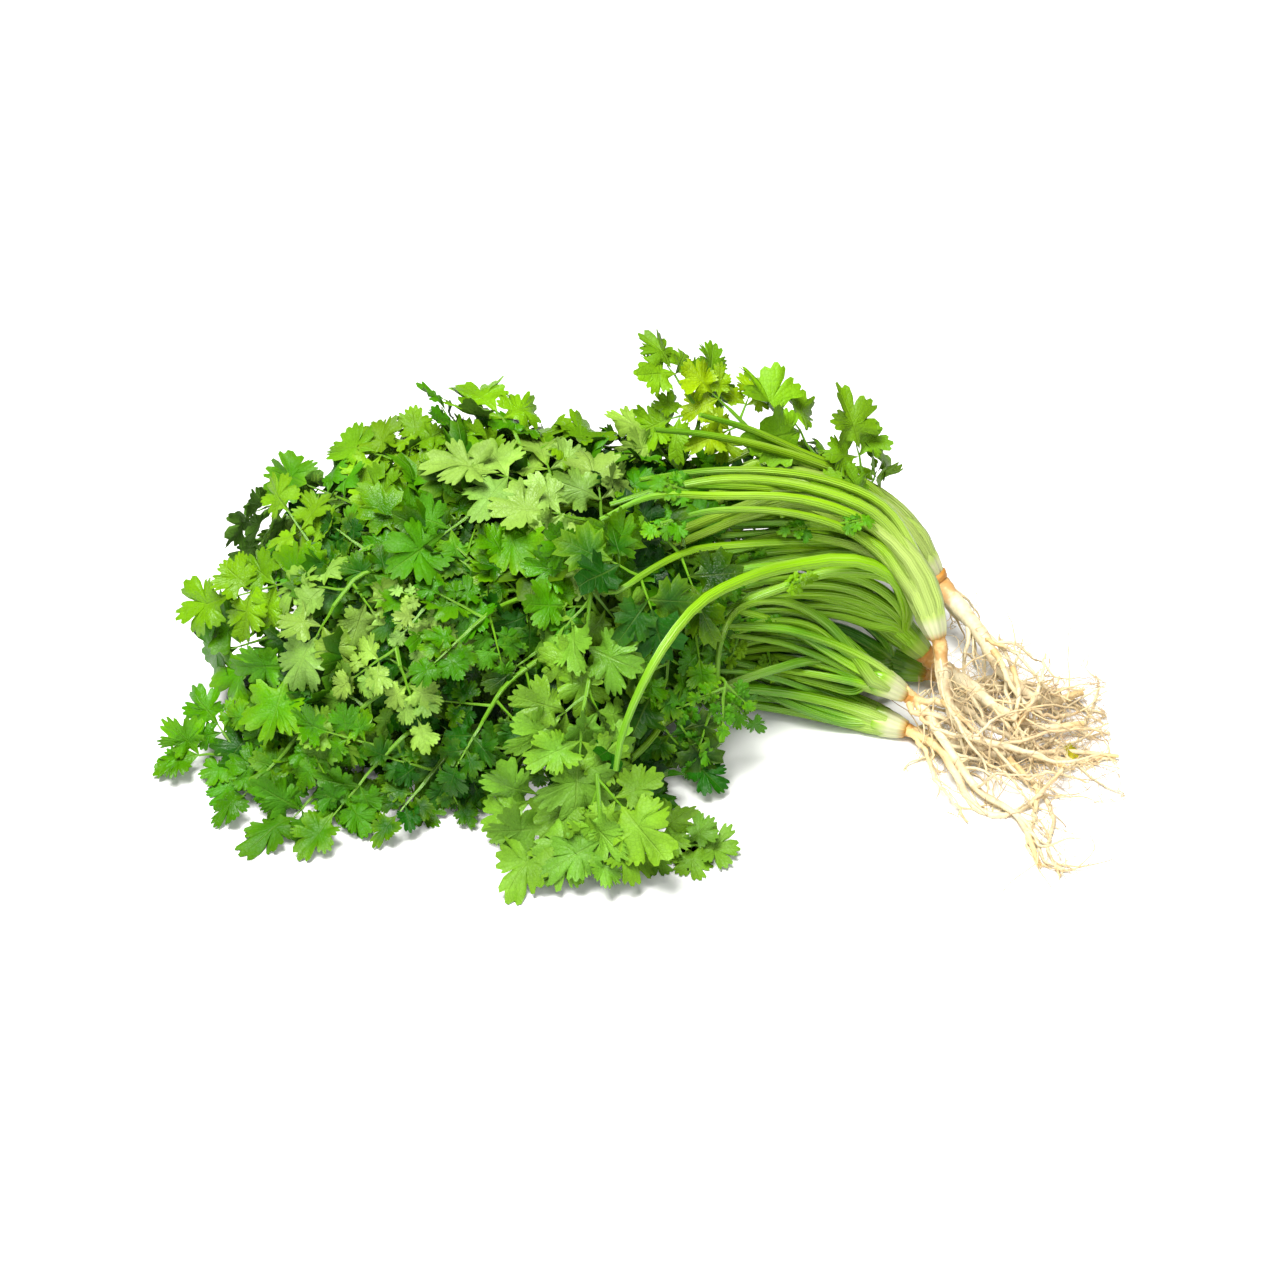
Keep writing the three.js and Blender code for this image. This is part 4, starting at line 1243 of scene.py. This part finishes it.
# The lowest height of a fine root, its room to the box's sides, and the least radius of a hair
FINE_LOW = 0.7
FINE_ROOM = 1
THINNEST_HAIR = 0.16

# The points of a strand, its lowest height, and how far its points stray
STRAND_STEPS = 30
STRAND_LOW = 1.0
STRAND_STRAY = 0.25


def root_route(plant):
    start, lower = (plant["collar"] + plant["up"] * height for height in ROOT_START)
    return through([start, lower, *plant["line"]], ROOT_STEPS)


def wavy(rng, start, way, length, steps, wander, sink):
    """A line that strays as it goes, and sinks to the floor"""
    line = [start]
    way = unit(way)
    for _ in range(steps):
        stray = np.array([rng.gauss(0, 1), rng.gauss(0, 1), rng.gauss(0, 1)]) * wander
        way = unit(way + stray + np.array([0, 0, -sink]))
        place = line[-1] + way * length / steps
        if place[2] < FINE_LOW:
            place[2] = FINE_LOW + 0.3 * rng.random()
            way[2] = abs(way[2]) * 0.3
        for axis in (0, 1):
            low, high = box_low[axis] + FINE_ROOM, box_high[axis] - FINE_ROOM
            if not low < place[axis] < high:
                place[axis] = min(max(place[axis], low), high)
                way[axis] *= -0.8
        line.append(place)
    return np.array(line)


def twigs(piece, rng, line, count, lengths, thick):
    """Thin side roots and hairs along a root"""
    for _ in range(count):
        from_point = line[rng.randrange(3, len(line))]
        away = unit(np.array([rng.uniform(-0.2, 1), rng.uniform(-1, 1), rng.uniform(-0.6, 0.7)]))
        hair = wavy(rng, from_point, away, rng.uniform(*lengths), steps=8, wander=0.3, sink=0.06)
        fine = np.linspace(1, 0.25, len(hair)) * max(THINNEST_HAIR, thick * rng.random())
        sweep(piece, hair, fine, 5, tinted(["root_hair", "root_hair", "hair_end"], len(hair)))


def root(name, plant, seed):
    """A plant's taproot with its side roots, its strands of the tangle and their hairs"""
    rng = random.Random(seed)
    piece = Piece()
    route = root_route(plant)
    share = np.linspace(0, 1, len(route))
    tip = plant["end"] * 0.55
    radii = tip + (plant["root"] * 0.78 - tip) * (1 - share) ** 1.25
    radii *= 1 + 0.05 * np.sin(share * 40 + seed) + 0.04 * np.sin(share * 91 + 2 * seed)
    tints = tinted(["root_orange", "root_tan", "root", "root", "root", "root", "root_tan"], len(route))
    tints[:, 3] = np.interp(share, [0, 0.15, 0.5, 1], [1, 0.9, 0.35, 0.1])
    sweep(piece, route, radii, 14, tints)
    for _ in range(SIDE_ROOTS):
        index = int(rng.uniform(0.12, 0.97) * (len(route) - 1))
        forward = unit(route[min(index + 1, len(route) - 1)] - route[max(index - 1, 0)])
        swing = np.array([rng.uniform(-0.5, 1.1), rng.uniform(-1, 0.8), rng.uniform(-0.8, 0.5)])
        way = forward * 0.8 + swing
        line = wavy(rng, route[index], way, rng.uniform(22, 52), steps=16, wander=0.17, sink=0.1)
        fade = np.linspace(1, 0.22, len(line)) * rng.uniform(0.45, 1.15)
        sweep(piece, line, fade, 7, tinted(["root", "root", "root_hair"], len(line), 0.15))
        twigs(piece, rng, line, count=7, lengths=(6, 24), thick=0.2)
    for thick, *places in STRANDS[name]:
        strand = through(seen(places), STRAND_STEPS)
        strand += np.array([[rng.gauss(0, STRAND_STRAY) for _ in range(3)] for _ in strand])
        strand[:, 2] = np.maximum(strand[:, 2], STRAND_LOW)
        fade = np.linspace(1, 0.4, len(strand)) * thick
        fade *= 1 + 0.08 * np.sin(np.arange(len(strand)) * 1.7 + seed)
        sweep(piece, strand, fade, 9, tinted(["root_tan", "root", "root", "root_hair"], len(strand), 0.3))
        twigs(piece, rng, strand, count=9, lengths=(10, 34), thick=0.5)
    piece.make(f"roots_{name}", [f"root_{name}"], [root_material])


# The bunch

# Seeds of the random numbers, the first of each row of pieces
ROOT_SEED = 31
SPRAY_SEED = 100
SMALL_SEED = 500
STALK_SEED = 900
YOUNG_SEED = 77
SCRAP_SEED = 5

# Small sprays leave the crown round its middle, each so far on from the last, and thinner than the others
SMALL_TURN = 2.4
SMALL_RADIUS = 2.4
SMALL_THIN = 0.72

# The radius round the crown's middle that the bundle's stalks leave from, their points, and the first of those
# that may carry a young leaf
BUNDLE_RADIUS = 3.4
BUNDLE_STEPS = 24
YOUNG_FROM = 5

# A young leaf's stalk and reach as shares of its size, and its greens
YOUNG_STALK, YOUNG_REACH = 0.6, 0.9
YOUNG_GREENS = ("light", "light", "bright")

near = []
for index, row in enumerate(NEAR_LEAVES):
    start = None
    if index in SIDE_ARRIVALS:
        side_x, side_y = SIDE_ARRIVALS[index]
        start = on_heap(row[1] + side_x, row[2] + side_y, row[5])
    leaf = near_leaf(row, start, FACINGS.get(index, FACE_TURN))
    if index in VIEWED_ROUTES:
        leaf["route"] = VIEWED_ROUTES[index]
    leaf["spread"] = SPREADS.get(index, (1, 1))
    near.append(leaf)
leaves = near + [far_leaf(row) for row in FAR_LEAVES]

for name, plant in PLANTS.items():
    give_slots(plant, [leaf for leaf in leaves if leaf["plant"] == name])
    crown(name, plant)
for order, (name, plant) in enumerate(PLANTS.items()):
    root(name, plant, ROOT_SEED + order)

counts = {name: 0 for name in PLANTS}
for order, leaf in enumerate(sorted(leaves, key=lambda item: np.linalg.norm(item["foot"] - item["slot"]))):
    plant = leaf["plant"]
    counts[plant] += 1
    place = f"{plant}_{counts[plant]}"
    leafy_stem(f"spray_{place}", [f"leafy_stem_{place}"], PLANTS[plant], leaf, SPRAY_SEED + order)

extras = [near_leaf(row) for row in EXTRA_NEAR] + [far_leaf(row) for row in EXTRA_FAR]
for order, leaf in enumerate(extras):
    plant = PLANTS[leaf["plant"]]
    _, top, across, third = crown_axes(plant)
    angle = SMALL_TURN * order
    leaf["slot"] = top + (across * math.cos(angle) + third * math.sin(angle)) * SMALL_RADIUS
    leafy_stem(f"small_spray_{order + 1}", [], plant, leaf, SMALL_SEED + order, SMALL_THIN)

stalk_places = []
bundle = [(PLANTS[name], *row) for name, rows in BUNDLE for row in rows]
for order, (plant, radius, *places) in enumerate(bundle):
    up, top, *_ = crown_axes(plant)
    aside = seen_at(*places[0]) - top
    aside = aside - up * (aside @ up)
    slot = top + aside / max(np.linalg.norm(aside), 1) * BUNDLE_RADIUS
    route = through([slot, *seen(places)], BUNDLE_STEPS)
    stem = Piece()
    bare_stem(stem, random.Random(STALK_SEED + order), plant, slot, route, radius)
    stem.make(f"stalk_{order + 1}")
    # The first is the long arch in front of the leaves, which carries no young ones
    if order:
        stalk_places.extend(route[YOUNG_FROM:-1])

young = Piece()
young_rng = random.Random(YOUNG_SEED)
stalk_pixels = np.array([pixel_of(place) for place in stalk_places])
nearness = np.array([place @ toward_reader for place in stalk_places])
for pixel_x, pixel_y, size, way in YOUNG:
    off = np.linalg.norm(stalk_pixels - [pixel_x, pixel_y], axis=1)
    place = stalk_places[int(np.argmax(nearness - PIXEL_COST * off))]
    angle = math.radians(way)
    heading = unit(np.array([math.cos(angle), 0, 0]) + board_up * math.sin(angle) + toward_reader * 0.3)
    face = unit(toward_reader + np.array([0, 0, 0.8]) + np.array([young_rng.uniform(-0.7, 0.7), 0, 0]))
    face = squared(face, heading)
    pinna(young, young_rng, place, heading, face, size * YOUNG_STALK, size * YOUNG_REACH,
          young_rng.choice(YOUNG_GREENS), "fine")
young.make("young_leaves")

# A yellow scrap of leaf on a root strand
scrap = Piece()
scrap_face = unit(toward_reader + np.array([0.2, 0, 0.5]))
scrap_way = np.array([0.9, 0, 0]) + board_up * 0.5
scrap_way = squared(scrap_way, scrap_face)
leaflet(scrap, random.Random(SCRAP_SEED), seen_at(*SCRAP), scrap_way, scrap_face, SCRAP_SIZE, "scrap",
        gloss=0.2, cut=0.8)
scrap.make("leaf_scrap")


# Floor, light and camera

HALF_FLOOR = 4.0
FLOOR_WHITE = (0.9, 0.9, 0.9, 1)
WORLD_LIGHT = 0.08
# Soft square lights: name, place, what they aim at, size, power and colour
LIGHTS = [
    ("key", (-0.3, -0.2, 1.35), (0, 0, 0.03), 0.7, 44, (1.0, 0.99, 0.96)),
    ("front", (0.4, -1.25, 0.85), (0, 0, 0.04), 1.2, 13, (1.0, 1.0, 1.0)),
]


floor_mesh = bpy.data.meshes.new("floor")
floor_corners = [(x * HALF_FLOOR, y * HALF_FLOOR, 0) for x, y in ((-1, -1), (1, -1), (1, 1), (-1, 1))]
floor_mesh.from_pydata(floor_corners, [], [(0, 1, 2, 3)])
floor_mesh.materials.append(Nodes("floor_white").finish(FLOOR_WHITE, 0.8, 0.1))
put_in_scene("floor", floor_mesh)

for name, place, aim, size, power, colour in LIGHTS:
    data = bpy.data.lights.new(name, "AREA")
    data.shape = "SQUARE"
    data.size = size
    data.energy = power
    data.color = colour
    back = unit(np.array(place, float) - np.array(aim, float))
    side = unit(np.cross([0, 1, 0.01], back))
    put_in_scene(name, data, place, [side, np.cross(back, side), back])

world = bpy.data.worlds.new("studio")
world.use_nodes = True
background = world.node_tree.nodes["Background"].inputs
background["Color"].default_value = (1, 1, 1, 1)
background["Strength"].default_value = WORLD_LIGHT
bpy.context.scene.world = world

camera_data = bpy.data.cameras.new("camera")
camera_data.lens = LENS
camera_data.sensor_width = SENSOR
camera_data.shift_y = (PHOTO_MIDDLE[1] - PHOTO_SIZE / 2) / PHOTO_SIZE
camera_place = ((reader + BUNCH_SHIFT) * MM).tolist()
camera = put_in_scene("camera", camera_data, camera_place, [[1, 0, 0], board_up, toward_reader])
bpy.context.scene.camera = camera
bpy.context.scene.view_settings.view_transform = "Standard"
